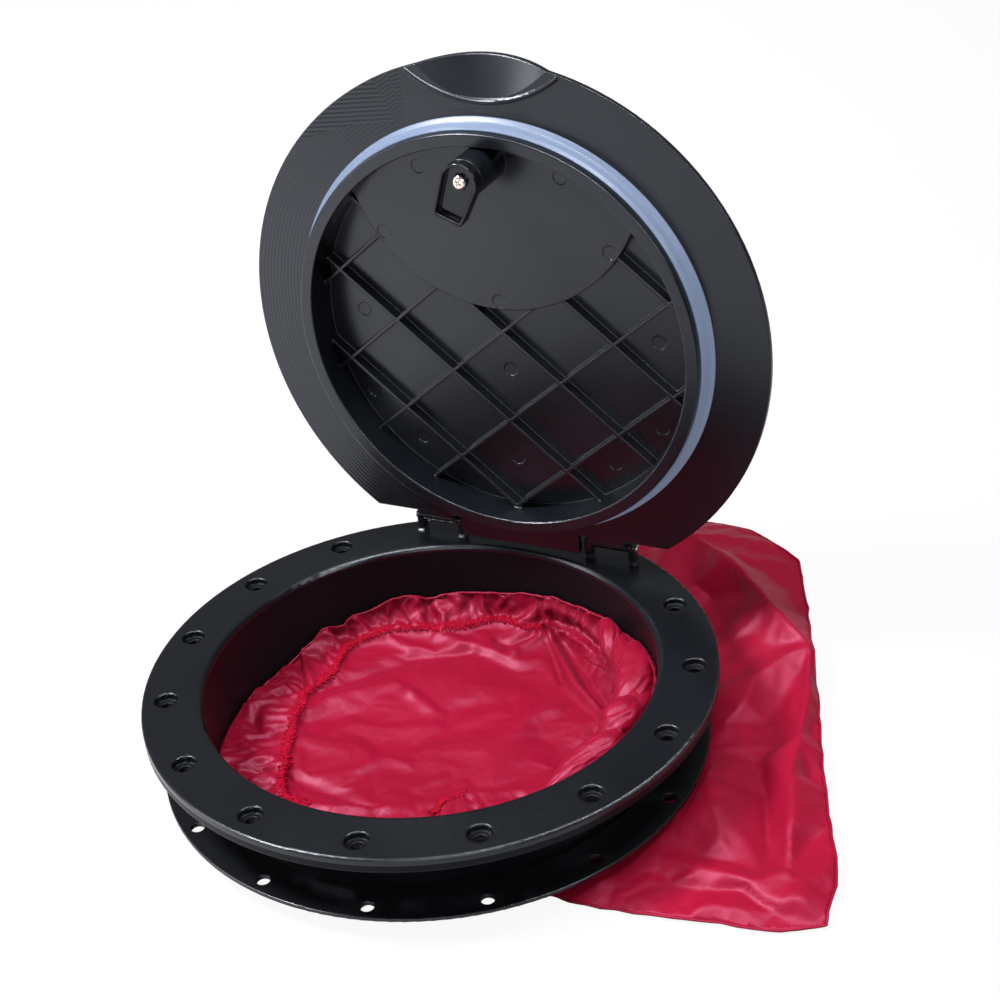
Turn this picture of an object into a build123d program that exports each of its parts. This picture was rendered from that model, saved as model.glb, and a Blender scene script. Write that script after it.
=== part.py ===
"""Round deck hatch: flanged frame with a neck, hinged lid, turning latch, backing ring and bag.

Origin: centre of the neck at the deck's surface, which is the underside of the frame's
flange. +Z leaves the deck, +Y points to the hinge, -Y to the lift lip and the latch.
Heights are counted from the top of the flange. The lid and its latch are dimensioned
closed and built in the open pose through the lid planes. Millimetres and degrees.
"""
from build123d import *
import math
import os

# ---------------------------------------------------------------- deck frame
flange_r = 128.5
flange_t = 6.4
opening_r = 101.5           # clear opening, nominal 8 inch (203 mm)
neck_wall = 2.2
neck_depth = 41.0           # neck bottom below the flange top
neck_r = opening_r + neck_wall
bead_r = 104.6              # bead round the neck's foot that holds the bag on
bead_h = 2.5
bead_slope_h = 0.8          # height of the slope above the bead
inner_round = 2.2           # top edge of the opening
outer_round = 0.9           # top edge of the flange
corner_round = 1.2          # between neck and flange
underside_round = 0.5       # lower edge of the flange
screw_hole_r = 2.75         # through hole for a 5 mm screw
cbore_r = 5.35
cbore_d = 3.2
screw_step = 24.0           # between neighbouring screws
screw_count = 12            # three places at the hinge are left out
screw_circle = dict(
    radius=117.5, count=screw_count, start_angle=138.0,
    angular_range=screw_step * (screw_count - 1), endpoint=True,
)
slot_w, slot_h, slot_corner_r = 22.0, 7.0, 1.5  # keeper slot for the latch cam
slot_z = -25.8
slot_inset = 2.5            # start of the slot's cut inside the opening radius
slot_cut = 8.0

# ---------------------------------------------------------------- hinge
hinge_y = 107.5
hinge_z = 7.9
lid_open = 90.87            # lid angle in the modelled rest pose
ear_x = (33.8, 56.1)        # ear centres, mirrored to both sides
ear_w = 3.2
ear_r = 2.45                # also the radius of the lid's lugs
ear_sunk = 0.5              # ears and feet start this far inside the flange
foot_h = 1.1
foot_extra_x, foot_extra_y = 1.0, 1.4   # foot size beyond the ear
foot_corner_r = 0.9
pin_r = 1.25
pin_bore_r = pin_r + 0.05
pin_bore_half = 70.0        # half length of the bore's cutter
pin_inner_end = 0.6         # pin beyond the inner ear
pin_outer_end = 0.15        # pin beyond the outer ear, up to its head
pin_head_r = 1.9
pin_head_t = 1.1
pin_head_round = 0.5
pin_chamfer = 0.3
lug_gap = 0.3               # between lug and ear
lug_from = ear_x[0] + ear_w / 2 + lug_gap
lug_to = ear_x[1] - ear_w / 2 - lug_gap

# ---------------------------------------------------------------- lid
lid_r = 127.5
lid_cy = -1.0               # the lid's circle sits slightly away from the hinge
lid_under = 1.6             # flange underside above the frame when closed
lid_edge_top = 4.2
lid_dome = 10.4             # top of the raised middle
skirt_ro = 98.4
skirt_ri = 92.5
skirt_bottom = -10.2
skirt_round = 0.6
floor_under = 7.5           # underside of the raised middle
chord_y = 101.2             # straight cut of the lid edge at the hinge
tab_half = 31.0             # middle tab of the lid between the two hinges
tab_y = 111.3
tab_t = 4.0
tab_overlap = 3.0           # tab reaching back into the lid
rib_top = 2.0               # free edge of the stiffening ribs
rib_t = 1.5
rib_pitch = 35.0
rib_angle = 40.0
lens_r = 71.8               # stepped disc that carries the latch
lens_cy = -84.4
lens_under = 1.7
lens_top = 4.0
lens_wall = 2.4             # left round the disc's hollow
lens_skirt_wall = 3.0       # left between the hollow and the skirt's inner face
skirt_bite = 1.5            # ribs and disc reach this far into the skirt
overlap = 0.5               # height by which joined features run into each other
cut_h = 12.0                # height of cuts that leave through the lid's top
mark_r = 3.3                # shallow round ejector marks
floor_mark_d = 0.3
lens_mark_d = 0.25

# turned section: distance from the lid's centre, height
lid_section = (
    (0, floor_under), (skirt_ri - 0.4, floor_under),
    (skirt_ri, skirt_bottom), (skirt_ro, skirt_bottom),
    (skirt_ro, lid_under), (lid_r, lid_under),
    (lid_r, lid_edge_top), (118, 5.5), (103, 7.4),
    (92, lid_dome - 0.5), (60, lid_dome), (0, lid_dome),
)
# side outline of a hinge lug: y, height
lug_section = (
    (98.0, lid_under), (103.9, lid_under), (hinge_y - 1.2, hinge_z - 2.1),
    (hinge_y, hinge_z), (hinge_y - 1.4, hinge_z + 2.0), (102.0, 8.8), (98.0, 7.6),
)
# mark centres: x, y
floor_marks = (
    (-74.1, -2.2), (74.1, -2.2), (-49.9, 62.5), (49.9, 62.5),
    (-74.0, 40.7), (74.0, 40.7), (0, 20.1), (0, 66.9),
)
lens_marks = ((-55.4, -45.5), (55.4, -45.5), (-34.3, -78.4), (34.3, -78.4), (0, -16.5))

# lift lip: a tilted round arch that raises the lid's edge at the front
lip_half = 36.0             # half width
lip_rise = 8.0
lip_in_y = -110.5           # crown at the inner edge
lip_t = 2.6
lip_slope = math.atan2(lip_rise, lip_in_y - (lid_cy - lid_r))  # radians
arch_r = (lip_half ** 2 + lip_rise ** 2) / (2 * lip_rise)
arch_setback = 30.0         # arch starts this far behind its crown point
arch_len = 80.0
arch_clip_h = 30.0
lip_hollow_margin = 6.0     # hollow runs past the lid's rim
lip_bead_r = 1.1
lip_bead_end_y = -122.4
lip_bead_crest_y = -109.8

# ring section: distance from the lid's centre, height
seal_ri = 98.5
seal_ro = 102.5
seal_top = lid_under - 0.03
seal_section = (
    (seal_ri, seal_top), (seal_ri, -6.1), (seal_ri + 0.6, -6.4),
    (99.9, -4.6), (100.4, -1.8), (100.8, -0.6), (102.1, 0.35), (seal_ro, 0.6),
    (seal_ro, seal_top),
)

# ---------------------------------------------------------------- latch
latch_y = -83.6
latch_gap = 0.05            # between stacked latch pieces
boss_r = 9.0
boss_end = -22.4
washer_r = 9.0
washer_hole_r = 4.2
washer_t = 0.8
washer_bottom = lens_top + latch_gap
hub_r = 14.0
hub_t = 2.6
hub_bottom = washer_bottom + washer_t + latch_gap
hub_top = hub_bottom + hub_t
hub_round = 0.8
hub_room_r = 15.2           # hollow in the lid for the hub
knob_r = 22.0               # half length of the grip
knob_sweep_r = 23.6         # room for the grip to turn in
knob_sweep_z = 6.2
grip_w = 12.0
grip_bottom = 6.5
grip_h = 7.8
grip_round = 1.4
waist_r = 10.2              # side scoops that waist the grip
waist_off = 14.2
shaft_r = 4.0
shaft_bore_r = shaft_r + 0.05
shaft_top = 5.2
shaft_end = -22.5
square_w = 5.4              # square end of the shaft
square_corner_r = 0.4
square_len = 2.2
groove_r = 2.9              # floor of the O-ring groove
groove_bottom = -3.6
groove_h = 1.4
ring_mid_r = 3.47
ring_tube_r = 0.55
tapped_r = 1.75
tapped_from, tapped_to = -30.0, -12.0

cam_dir = 112.0             # unlatched cam direction from +X
knob_dir = cam_dir + 180.0
cam_len = 19.0
cam_half = 8.9
cam_tip_half = 7.6          # the cam narrows towards its tip
cam_tip_r = 3.0
cam_top = -22.7
cam_base = 2.0
cam_rim = -28.2
cam_wall = 1.6
cam_rim_round = 0.55
cam_square_w = 5.6

screw_head_r = 3.35
screw_head_t = 2.4
screw_head_top = cam_top - cam_base - latch_gap
screw_crown_round = 1.5
screw_shank_r = 1.7
screw_shank_from = -24.9
screw_shank_len = 11.5
recess_dir = 35.0           # cross recess in the head
recess_len, recess_w = 3.4, 0.75
recess_from = -28.0
recess_cut = 2.3

# ---------------------------------------------------------------- backing ring
back_ri = 105.2
back_ro = 123.8
back_top = -34.5
back_t = 2.0
back_hole_r = 3.0
back_round = 0.45

# ---------------------------------------------------------------- bag
bag_floor = -46.0
bag_slab_top = -42.0
bag_loft_top = -16.0
bag_round_r = 99.0          # round part under the neck
bag_taper = 20.0
bag_clear_r = 132.0         # kept free round the frame above the slab
hem_ri = 84.0
hem_ro = 93.0
hem_low = -39.0
hem_high = -14.0
hem_mid = (hem_high + hem_low) / 2
hem_overlap = 1.0           # hem starts inside the slab
hem_blank_h = 60.0
tilt_az = math.radians(30.0)  # direction in which the gathered mouth stands highest
hem_tilt = math.atan2((hem_high - hem_low) / 2, hem_ro)
elastic_ri = 94.6
elastic_ro = 97.2
elastic_h = 4.5
elastic_rise = 2.5          # elastic's upper face above the hem's edge plane

# outlines seen from above: x, y
slab_outline = (
    (60, -84), (112, -81), (152, -75), (197, -63), (193, -28),
    (174, 18), (152, 78), (129, 146), (112, 186), (95, 198),
    (78, 207), (50, 212), (0, 205), (-40, 190), (-30, 90),
)
loft_outline = (
    (112, -79), (152, -73), (195, -61), (191, -28),
    (172, 18), (150, 78), (127, 146), (110, 184), (95, 195),
    (60, 205), (20, 200), (20, 135), (90, 130), (118, 70), (134, 10), (132, -30),
)

# ---------------------------------------------------------------- planes
# The flange's top face, an upright section facing -Y and one facing +X.
top_plane = Plane(origin=(0, 0, flange_t), x_dir=(1, 0, 0), z_dir=(0, 0, 1))
front_section = Plane(origin=(0, 0, flange_t), x_dir=(1, 0, 0), z_dir=(0, -1, 0))
side_section = Plane(origin=(0, 0, flange_t), x_dir=(0, 1, 0), z_dir=(1, 0, 0))

open_cos = math.cos(math.radians(lid_open))
open_sin = math.sin(math.radians(lid_open))


def lid_frame(z=0.0, y=0.0, x=0.0):
    """Plane parallel to the lid, at closed height z and closed point (x, y)."""
    dy, dz = y - hinge_y, z - hinge_z
    origin = (
        x,
        hinge_y + dy * open_cos + dz * open_sin,
        flange_t + hinge_z - dy * open_sin + dz * open_cos,
    )
    return Plane(origin=origin, x_dir=(1, 0, 0), z_dir=(0, open_sin, open_cos))


def lid_profile(y):
    """Section plane through the lid at closed y: local X is +X, local Y is up."""
    base = lid_frame(y=y)
    return Plane(origin=base.origin, x_dir=base.x_dir, z_dir=-base.y_dir)


def lid_side(x):
    """Section plane across the hinge at x: local X is closed Y, local Y is closed Z."""
    base = lid_frame(x=x)
    return Plane(origin=base.origin, x_dir=base.y_dir, z_dir=base.x_dir)


def lid_axis(y):
    """Axis square to the lid through closed point (0, y)."""
    base = lid_frame(y=y)
    return Axis(base.origin, base.z_dir)


def lip_plane():
    """Plane square to the arch; its crown is the origin and local -Y leads to its centre."""
    base = lid_frame(lid_under, lip_in_y)
    along = base.y_dir * -math.cos(lip_slope) + base.z_dir * math.sin(lip_slope)
    return Plane(origin=base.origin - along * arch_setback, x_dir=(1, 0, 0), z_dir=along)


def tilted(height):
    """Plane that crosses the neck's axis at this height and rises towards tilt_az."""
    normal = (
        -math.sin(hem_tilt) * math.cos(tilt_az),
        -math.sin(hem_tilt) * math.sin(tilt_az),
        math.cos(hem_tilt),
    )
    return Plane(origin=(0, 0, flange_t + height), z_dir=normal)


# ---------------------------------------------------------------- helpers
def circles(builder):
    return builder.edges().filter_by(GeomType.CIRCLE)


def top_rims(builder):
    """Highest circular edges, from the smallest radius to the largest."""
    return circles(builder).group_by(Axis.Z)[-1].sort_by(SortBy.RADIUS)


def underside_rim(builder, radius):
    """Circular edges of this radius at the flange's underside."""
    return [
        e for e in circles(builder)
        if abs(e.radius - radius) < 0.01 and abs(e.arc_center.Z) < 0.01
    ]


def at_lid_height(edges, z):
    """Those edges that lie at closed height z of the lid."""
    plane = lid_frame(z)
    return edges.filter_by(lambda e: abs((e.center() - plane.origin).dot(plane.z_dir)) < 0.02)


def save(builder, name):
    builder.part.label = name
    export_step(builder.part, f"parts/{name}.step")


# ================================================================ frame pieces
def make_deck_frame():
    with BuildPart() as frame:
        with BuildSketch(front_section):
            with BuildLine():
                Polyline(
                    (opening_r, 0), (flange_r, 0), (flange_r, -flange_t),
                    (neck_r, -flange_t), (neck_r, -(neck_depth - bead_h)),
                    (bead_r, -(neck_depth - bead_h) - bead_slope_h),
                    (bead_r, -neck_depth), (opening_r, -neck_depth), close=True,
                )
            make_face()
        revolve(axis=Axis.Z)
        fillet(top_rims(frame)[0], inner_round)
        fillet(top_rims(frame)[-1], outer_round)
        fillet(underside_rim(frame, neck_r), corner_round)
        fillet(underside_rim(frame, flange_r), underside_round)
        # counterbored screw holes; none under the hinge
        with Locations(top_plane):
            with PolarLocations(**screw_circle):
                CounterBoreHole(screw_hole_r, cbore_r, cbore_d, depth=flange_t + 2)
        # keeper slot in the front of the neck for the latch cam
        with BuildSketch(front_section.offset(opening_r - slot_inset)):
            with Locations((0, slot_z)):
                RectangleRounded(slot_w, slot_h, slot_corner_r)
        extrude(amount=slot_cut, mode=Mode.SUBTRACT)
        # hinge ears with a small foot step
        for side in (-1, 1):
            for x in ear_x:
                with BuildSketch(side_section.offset(side * x - ear_w / 2)):
                    with Locations((hinge_y, (hinge_z - ear_sunk) / 2)):
                        Rectangle(2 * ear_r, hinge_z + ear_sunk)
                    with Locations((hinge_y, hinge_z)):
                        Circle(ear_r)
                extrude(amount=ear_w)
                with BuildSketch(top_plane.offset(-ear_sunk)):
                    with Locations((side * x, hinge_y)):
                        RectangleRounded(
                            ear_w + foot_extra_x, 2 * ear_r + foot_extra_y, foot_corner_r
                        )
                extrude(amount=foot_h)
        with BuildSketch(side_section.offset(-pin_bore_half)):
            with Locations((hinge_y, hinge_z)):
                Circle(pin_bore_r)
        extrude(amount=2 * pin_bore_half, mode=Mode.SUBTRACT)
    save(frame, "deck_frame")


def make_backing_ring():
    with BuildPart() as ring:
        with BuildSketch(top_plane.offset(back_top - back_t)):
            Circle(back_ro)
            Circle(back_ri, mode=Mode.SUBTRACT)
            with PolarLocations(**screw_circle):
                Circle(back_hole_r, mode=Mode.SUBTRACT)
        extrude(amount=back_t)
        # both rims, without the screw holes
        fillet([e for e in circles(ring) if e.radius > back_ri - 1], back_round)
    save(ring, "backing_ring")


def make_hinge_pin(side, name):
    """Pin on the -X (side -1) or +X (side 1) half, with its head at the outer end."""
    x_in = side * (ear_x[0] - ear_w / 2 - pin_inner_end)
    x_out = side * (ear_x[1] + ear_w / 2 + pin_outer_end)
    head_from = x_out if side > 0 else x_out - pin_head_t
    # places of the outer and inner end in a list sorted along X
    outer, inner = (-1, 0) if side > 0 else (0, -1)
    with BuildPart() as pin:
        with BuildSketch(side_section.offset(min(x_in, x_out))):
            with Locations((hinge_y, hinge_z)):
                Circle(pin_r)
        extrude(amount=abs(x_out - x_in))
        with BuildSketch(side_section.offset(head_from)):
            with Locations((hinge_y, hinge_z)):
                Circle(pin_head_r)
        extrude(amount=pin_head_t)
        fillet(circles(pin).group_by(Axis.X)[outer], pin_head_round)
        chamfer(circles(pin).group_by(Axis.X)[inner], pin_chamfer)
    save(pin, name)


# ================================================================ lid pieces
def lip_arch(radius, rim_r, bottom):
    """Round bar along the lip's arch, clipped to a disc that starts at this height."""
    with BuildPart() as arch:
        with BuildSketch(lip_plane()):
            with Locations((0, -arch_r)):
                Circle(radius)
        extrude(amount=arch_len)
        with BuildSketch(lid_frame(bottom)):
            with Locations((0, lid_cy)):
                Circle(rim_r)
        extrude(amount=arch_clip_h, mode=Mode.INTERSECT)
    return arch.part


def lip_body():
    """Solid lip, kept only near the lid's front edge."""
    arch = lip_arch(arch_r + lip_t, lid_r, lid_under)
    with BuildPart() as body:
        add(arch)
        with BuildSketch(lid_frame(lid_under - 1)):
            with Locations((0, -117)):
                Rectangle(110, 30)
        extrude(amount=40, mode=Mode.INTERSECT)
    return body.part


def lip_bead():
    """Round bead that follows the inner edge of the lip's hollow."""
    with BuildPart() as bead:
        with BuildLine(lid_frame(lid_under)) as crest:
            ThreePointArc(
                (-lip_half, lip_bead_end_y), (0, lip_bead_crest_y), (lip_half, lip_bead_end_y)
            )
        with BuildSketch(Plane(origin=crest.line @ 0, z_dir=crest.line % 0)):
            Circle(lip_bead_r)
        sweep()
    return bead.part


def make_lid_shell():
    lip = lip_body()
    lip_hollow = lip_arch(arch_r, lid_r + lip_hollow_margin, lid_under - 1.0)
    bead = lip_bead()
    with BuildPart() as shell:
        # flange, raised middle and skirt in one turned section
        with BuildSketch(lid_profile(lid_cy)) as turned:
            with BuildLine():
                Polyline(*lid_section, close=True)
            make_face()
            bottom = turned.vertices().filter_by(lambda v: abs(v.Y - skirt_bottom) < 1e-4)
            fillet(bottom, skirt_round)
        revolve(axis=lid_axis(lid_cy))
        # straight cut along the hinge
        with BuildSketch(lid_frame(lid_under - 1)):
            with Locations((0, chord_y + 20)):
                Rectangle(200, 40)
        extrude(amount=cut_h, mode=Mode.SUBTRACT)
        # middle tab between the hinges
        with BuildSketch(lid_frame(lid_under)):
            with Locations((0, (chord_y - tab_overlap + tab_y) / 2)):
                Rectangle(2 * tab_half, tab_y - chord_y + tab_overlap)
        extrude(amount=tab_t)
        # hinge lugs, one between each pair of ears
        for x in (-lug_to, lug_from):
            with BuildSketch(lid_side(x)):
                with BuildLine():
                    Polyline(*lug_section, close=True)
                make_face()
                with Locations((hinge_y, hinge_z)):
                    Circle(ear_r)
            extrude(amount=lug_to - lug_from)
        add(lip)
        add(lip_hollow, mode=Mode.SUBTRACT)
        add(bead)
        # stiffening ribs in two crossing directions
        with BuildSketch(lid_frame(rib_top)):
            for way in (-1, 1):
                angle = math.radians(way * rib_angle)
                for k in (-2, -1, 0, 1, 2):
                    off = k * rib_pitch
                    centre = (-off * math.sin(angle), lid_cy + off * math.cos(angle))
                    with Locations(Location(centre, way * rib_angle)):
                        Rectangle(2 * skirt_ri + 4, rib_t)
            with Locations((0, lid_cy)):
                Circle(skirt_ri + skirt_bite, mode=Mode.INTERSECT)
        extrude(amount=floor_under - rib_top + overlap)
        # stepped disc that carries the latch, with its hollow on the top side
        with BuildSketch(lid_frame(lens_under)):
            with Locations((0, lens_cy)):
                Circle(lens_r)
            with Locations((0, lid_cy)):
                Circle(skirt_ri + skirt_bite, mode=Mode.INTERSECT)
        extrude(amount=floor_under - lens_under + overlap)
        with BuildSketch(lid_frame(lens_top)):
            with Locations((0, lens_cy)):
                Circle(lens_r - lens_wall)
            with Locations((0, lid_cy)):
                Circle(skirt_ri - lens_skirt_wall, mode=Mode.INTERSECT)
        extrude(amount=cut_h, mode=Mode.SUBTRACT)
        # room for the knob's hub and grip to turn over the skirt
        for height, radius in ((lens_top, hub_room_r), (knob_sweep_z, knob_sweep_r)):
            with BuildSketch(lid_frame(height)):
                with Locations((0, latch_y)):
                    Circle(radius)
            extrude(amount=cut_h, mode=Mode.SUBTRACT)
        # latch boss and its bore
        with BuildSketch(lid_frame(lens_under + overlap)):
            with Locations((0, latch_y)):
                Circle(boss_r)
        extrude(amount=-(lens_under + overlap - boss_end))
        with BuildSketch(lid_frame(boss_end - 1)):
            with Locations((0, latch_y)):
                Circle(shaft_bore_r)
        extrude(amount=40, mode=Mode.SUBTRACT)
        # ejector marks on the undersides of the floor and the disc
        for underside, depth, places in (
            (floor_under, floor_mark_d, floor_marks),
            (lens_under, lens_mark_d, lens_marks),
        ):
            with BuildSketch(lid_frame(underside - 1)):
                with Locations(*places):
                    Circle(mark_r)
            extrude(amount=1 + depth, mode=Mode.SUBTRACT)
        # pin holes through the lugs
        with BuildSketch(lid_side(-pin_bore_half)):
            with Locations((hinge_y, hinge_z)):
                Circle(pin_bore_r)
        extrude(amount=2 * pin_bore_half, mode=Mode.SUBTRACT)
    save(shell, "lid_shell")


def make_lid_seal():
    with BuildPart() as seal:
        with BuildSketch(lid_profile(lid_cy)):
            with BuildLine():
                Polyline(*seal_section, close=True)
            make_face()
        revolve(axis=lid_axis(lid_cy))
    save(seal, "lid_seal")


# ================================================================ latch pieces
def make_latch_knob():
    with BuildPart() as knob:
        # hub
        with BuildSketch(lid_frame(hub_bottom)):
            with Locations((0, latch_y)):
                Circle(hub_r)
        extrude(amount=hub_t)
        fillet(at_lid_height(circles(knob), hub_top), hub_round)
        # two-winged grip, waisted in the middle
        with BuildSketch(lid_frame(grip_bottom)):
            with Locations(Location((0, latch_y), knob_dir)):
                SlotOverall(2 * knob_r, grip_w)
                with Locations((0, waist_off), (0, -waist_off)):
                    Circle(waist_r, mode=Mode.SUBTRACT)
        extrude(amount=grip_h)
        fillet(at_lid_height(knob.edges(), grip_bottom + grip_h), grip_round)
        # shaft with a square end and an O-ring groove
        with BuildSketch(lid_frame(shaft_top)):
            with Locations((0, latch_y)):
                Circle(shaft_r)
        extrude(amount=shaft_end - shaft_top)
        with BuildSketch(lid_frame(boss_end)):
            with Locations(Location((0, latch_y), cam_dir)):
                RectangleRounded(square_w, square_w, square_corner_r)
        extrude(amount=-square_len)
        with BuildSketch(lid_frame(groove_bottom)):
            with Locations((0, latch_y)):
                Circle(shaft_r + 1)
                Circle(groove_r, mode=Mode.SUBTRACT)
        extrude(amount=groove_h, mode=Mode.SUBTRACT)
        # tapped hole for the cam screw
        with BuildSketch(lid_frame(tapped_from)):
            with Locations((0, latch_y)):
                Circle(tapped_r)
        extrude(amount=tapped_to - tapped_from, mode=Mode.SUBTRACT)
    save(knob, "latch_knob")


def make_latch_o_ring():
    with BuildPart() as ring:
        with BuildSketch(lid_profile(latch_y)):
            with Locations((ring_mid_r, groove_bottom + groove_h / 2)):
                Circle(ring_tube_r)
        revolve(axis=lid_axis(latch_y))
    save(ring, "latch_o_ring")


def make_latch_washer():
    with BuildPart() as washer:
        with BuildSketch(lid_frame(washer_bottom)):
            with Locations((0, latch_y)):
                Circle(washer_r)
                Circle(washer_hole_r, mode=Mode.SUBTRACT)
        extrude(amount=washer_t)
    save(washer, "latch_washer")


def cam_point(along, across=0.0):
    """Closed (x, y) of a point given along and across the cam from the shaft."""
    angle = math.radians(cam_dir)
    return (
        along * math.cos(angle) - across * math.sin(angle),
        latch_y + along * math.sin(angle) + across * math.cos(angle),
    )


def make_latch_cam():
    with BuildPart() as cam:
        # cup-shaped arm, rounded at the shaft and squarer at the tip, then its hollow
        for top, inset, mode in (
            (cam_top, 0, Mode.ADD),
            (cam_top - cam_base, cam_wall, Mode.SUBTRACT),
        ):
            with BuildSketch(lid_frame(top)):
                with BuildLine():
                    CenterArc(cam_point(0), cam_half - inset, 0, 360)
                    for side in (-1, 1):
                        CenterArc(
                            cam_point(cam_len - cam_tip_r, side * (cam_tip_half - cam_tip_r)),
                            cam_tip_r - inset, 0, 360,
                        )
                make_hull()
            extrude(amount=cam_rim - cam_top, mode=mode)
        fillet(at_lid_height(cam.edges(), cam_rim), cam_rim_round)
        # square hole for the shaft
        with BuildSketch(lid_frame(cam_top + 1)):
            with Locations(Location((0, latch_y), cam_dir)):
                Rectangle(cam_square_w, cam_square_w)
        extrude(amount=-20, mode=Mode.SUBTRACT)
    save(cam, "latch_cam")


def make_latch_screw():
    with BuildPart() as screw:
        with BuildSketch(lid_frame(screw_head_top)):
            with Locations((0, latch_y)):
                Circle(screw_head_r)
        extrude(amount=-screw_head_t)
        crown = at_lid_height(circles(screw), screw_head_top - screw_head_t)
        fillet(crown, screw_crown_round)
        with BuildSketch(lid_frame(screw_shank_from)):
            with Locations((0, latch_y)):
                Circle(screw_shank_r)
        extrude(amount=screw_shank_len)
        # cross recess
        with BuildSketch(lid_frame(recess_from)):
            with Locations(Location((0, latch_y), recess_dir)):
                Rectangle(recess_len, recess_w)
                Rectangle(recess_w, recess_len)
        extrude(amount=recess_cut, mode=Mode.SUBTRACT)
    save(screw, "latch_screw")


# ================================================================ bag pieces
def bag_hem():
    """Gathered mouth inside the neck, cut off by the tilted plane."""
    with BuildPart() as hem:
        with BuildSketch(top_plane.offset(bag_slab_top - hem_overlap)):
            Circle(hem_ro)
            Circle(hem_ri, mode=Mode.SUBTRACT)
        extrude(amount=hem_blank_h)
        split(bisect_by=tilted(hem_mid), keep=Keep.BOTTOM)
    return hem.part


def make_storage_bag():
    """Pouch lying under and beside the neck."""
    hem = bag_hem()
    with BuildPart() as bag:
        with BuildSketch(top_plane.offset(bag_floor)):
            Circle(bag_round_r)
        extrude(amount=bag_slab_top - bag_floor)
        with BuildSketch(top_plane.offset(bag_floor)):
            with BuildLine():
                Polyline(*slab_outline, close=True)
            make_face()
        extrude(amount=bag_slab_top - bag_floor)
        # fuller part beside the frame
        with BuildSketch(top_plane.offset(bag_floor)):
            with BuildLine():
                Polyline(*loft_outline, close=True)
            make_face()
        extrude(amount=bag_loft_top - bag_floor, taper=bag_taper)
        with BuildSketch(top_plane.offset(bag_slab_top)):
            Circle(bag_clear_r)
        extrude(amount=60, mode=Mode.SUBTRACT)
        add(hem)
    save(bag, "storage_bag")


def make_bag_elastic():
    with BuildPart() as elastic:
        with BuildSketch(tilted(hem_mid + elastic_rise)):
            Circle(elastic_ro)
            Circle(elastic_ri, mode=Mode.SUBTRACT)
        extrude(amount=-elastic_h)
    save(elastic, "bag_elastic")


os.makedirs("parts", exist_ok=True)
make_deck_frame()
make_backing_ring()
make_hinge_pin(-1, "hinge_pin_left")
make_hinge_pin(1, "hinge_pin_right")
make_lid_shell()
make_lid_seal()
make_latch_knob()
make_latch_o_ring()
make_latch_washer()
make_latch_cam()
make_latch_screw()
make_storage_bag()
make_bag_elastic()
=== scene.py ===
import math
import random

import bpy
import numpy as np
from mathutils import Matrix, Vector, noise
from mathutils.bvhtree import BVHTree
from mathutils.geometry import delaunay_2d_cdt


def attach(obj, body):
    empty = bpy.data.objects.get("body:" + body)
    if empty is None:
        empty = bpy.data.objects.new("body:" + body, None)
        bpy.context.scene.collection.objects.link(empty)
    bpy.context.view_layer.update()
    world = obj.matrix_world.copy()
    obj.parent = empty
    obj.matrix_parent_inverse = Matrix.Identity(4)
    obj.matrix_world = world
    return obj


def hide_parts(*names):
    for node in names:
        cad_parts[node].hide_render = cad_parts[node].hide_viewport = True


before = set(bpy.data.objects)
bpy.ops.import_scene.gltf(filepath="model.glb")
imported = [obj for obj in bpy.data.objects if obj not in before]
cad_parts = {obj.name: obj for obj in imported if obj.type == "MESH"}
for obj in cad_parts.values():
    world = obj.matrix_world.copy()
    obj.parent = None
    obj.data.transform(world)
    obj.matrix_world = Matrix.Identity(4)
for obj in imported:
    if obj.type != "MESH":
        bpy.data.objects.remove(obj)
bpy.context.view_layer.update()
scene = bpy.context.scene

FLANGE_T = 6.4  # the flange underside is z = 0 in the shared frame
FLOOR_Z = -46.0
DEG_PER_RAD = 57.3  # rounded, as used for arc lengths


def to_frame(points):
    """mm from the flange top -> metres in the shared frame"""
    return (np.asarray(points, float) + np.array([0.0, 0.0, FLANGE_T])) * 0.001


def to_mm(points):
    """metres in the shared frame -> mm from the flange top"""
    return np.array(points) * 1000 - np.array([0, 0, FLANGE_T])


def new_mesh(name, verts, faces, smooth=True):
    mesh = bpy.data.meshes.new(name)
    mesh.from_pydata([tuple(v) for v in verts], [], [tuple(f) for f in faces])
    mesh.validate()
    mesh.update()
    ob = bpy.data.objects.new(name, mesh)
    scene.collection.objects.link(ob)
    if smooth:
        mesh.polygons.foreach_set("use_smooth", [True] * len(mesh.polygons))
    return ob


def paint(ob, material):
    ob.data.materials.clear()
    ob.data.materials.append(material)


# ---------------------------------------------------------------- node helpers


class Nodes:
    """Builds and wires the nodes of a material or a world."""

    def __init__(self, owner, output_kind):
        owner.use_nodes = True
        self.owner = owner
        self.tree = owner.node_tree
        self.tree.nodes.clear()
        self.output = self.node(output_kind)

    def feed(self, socket, value):
        """links a socket, or sets a number, vector or RGB colour"""
        if isinstance(value, bpy.types.NodeSocket):
            self.tree.links.new(value, socket)
        elif isinstance(value, tuple) and len(socket.default_value) == 4:
            socket.default_value = (*value, 1)
        else:
            socket.default_value = value

    def node(self, kind, *values, **inputs):
        """new node; values fill its first inputs, keywords name inputs with _ for a space"""
        made = self.tree.nodes.new(kind)
        for index, value in enumerate(values):
            self.feed(made.inputs[index], value)
        for name, value in inputs.items():
            self.feed(made.inputs[name.replace("_", " ")], value)
        return made

    def mix_shader(self, factor, first, second):
        return self.node("ShaderNodeMixShader", factor, first, second).outputs[0]

    def camera_ray(self):
        return self.node("ShaderNodeLightPath").outputs["Is Camera Ray"]

    def finish(self, shader):
        self.feed(self.output.inputs["Surface"], shader)
        return self.owner


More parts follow.
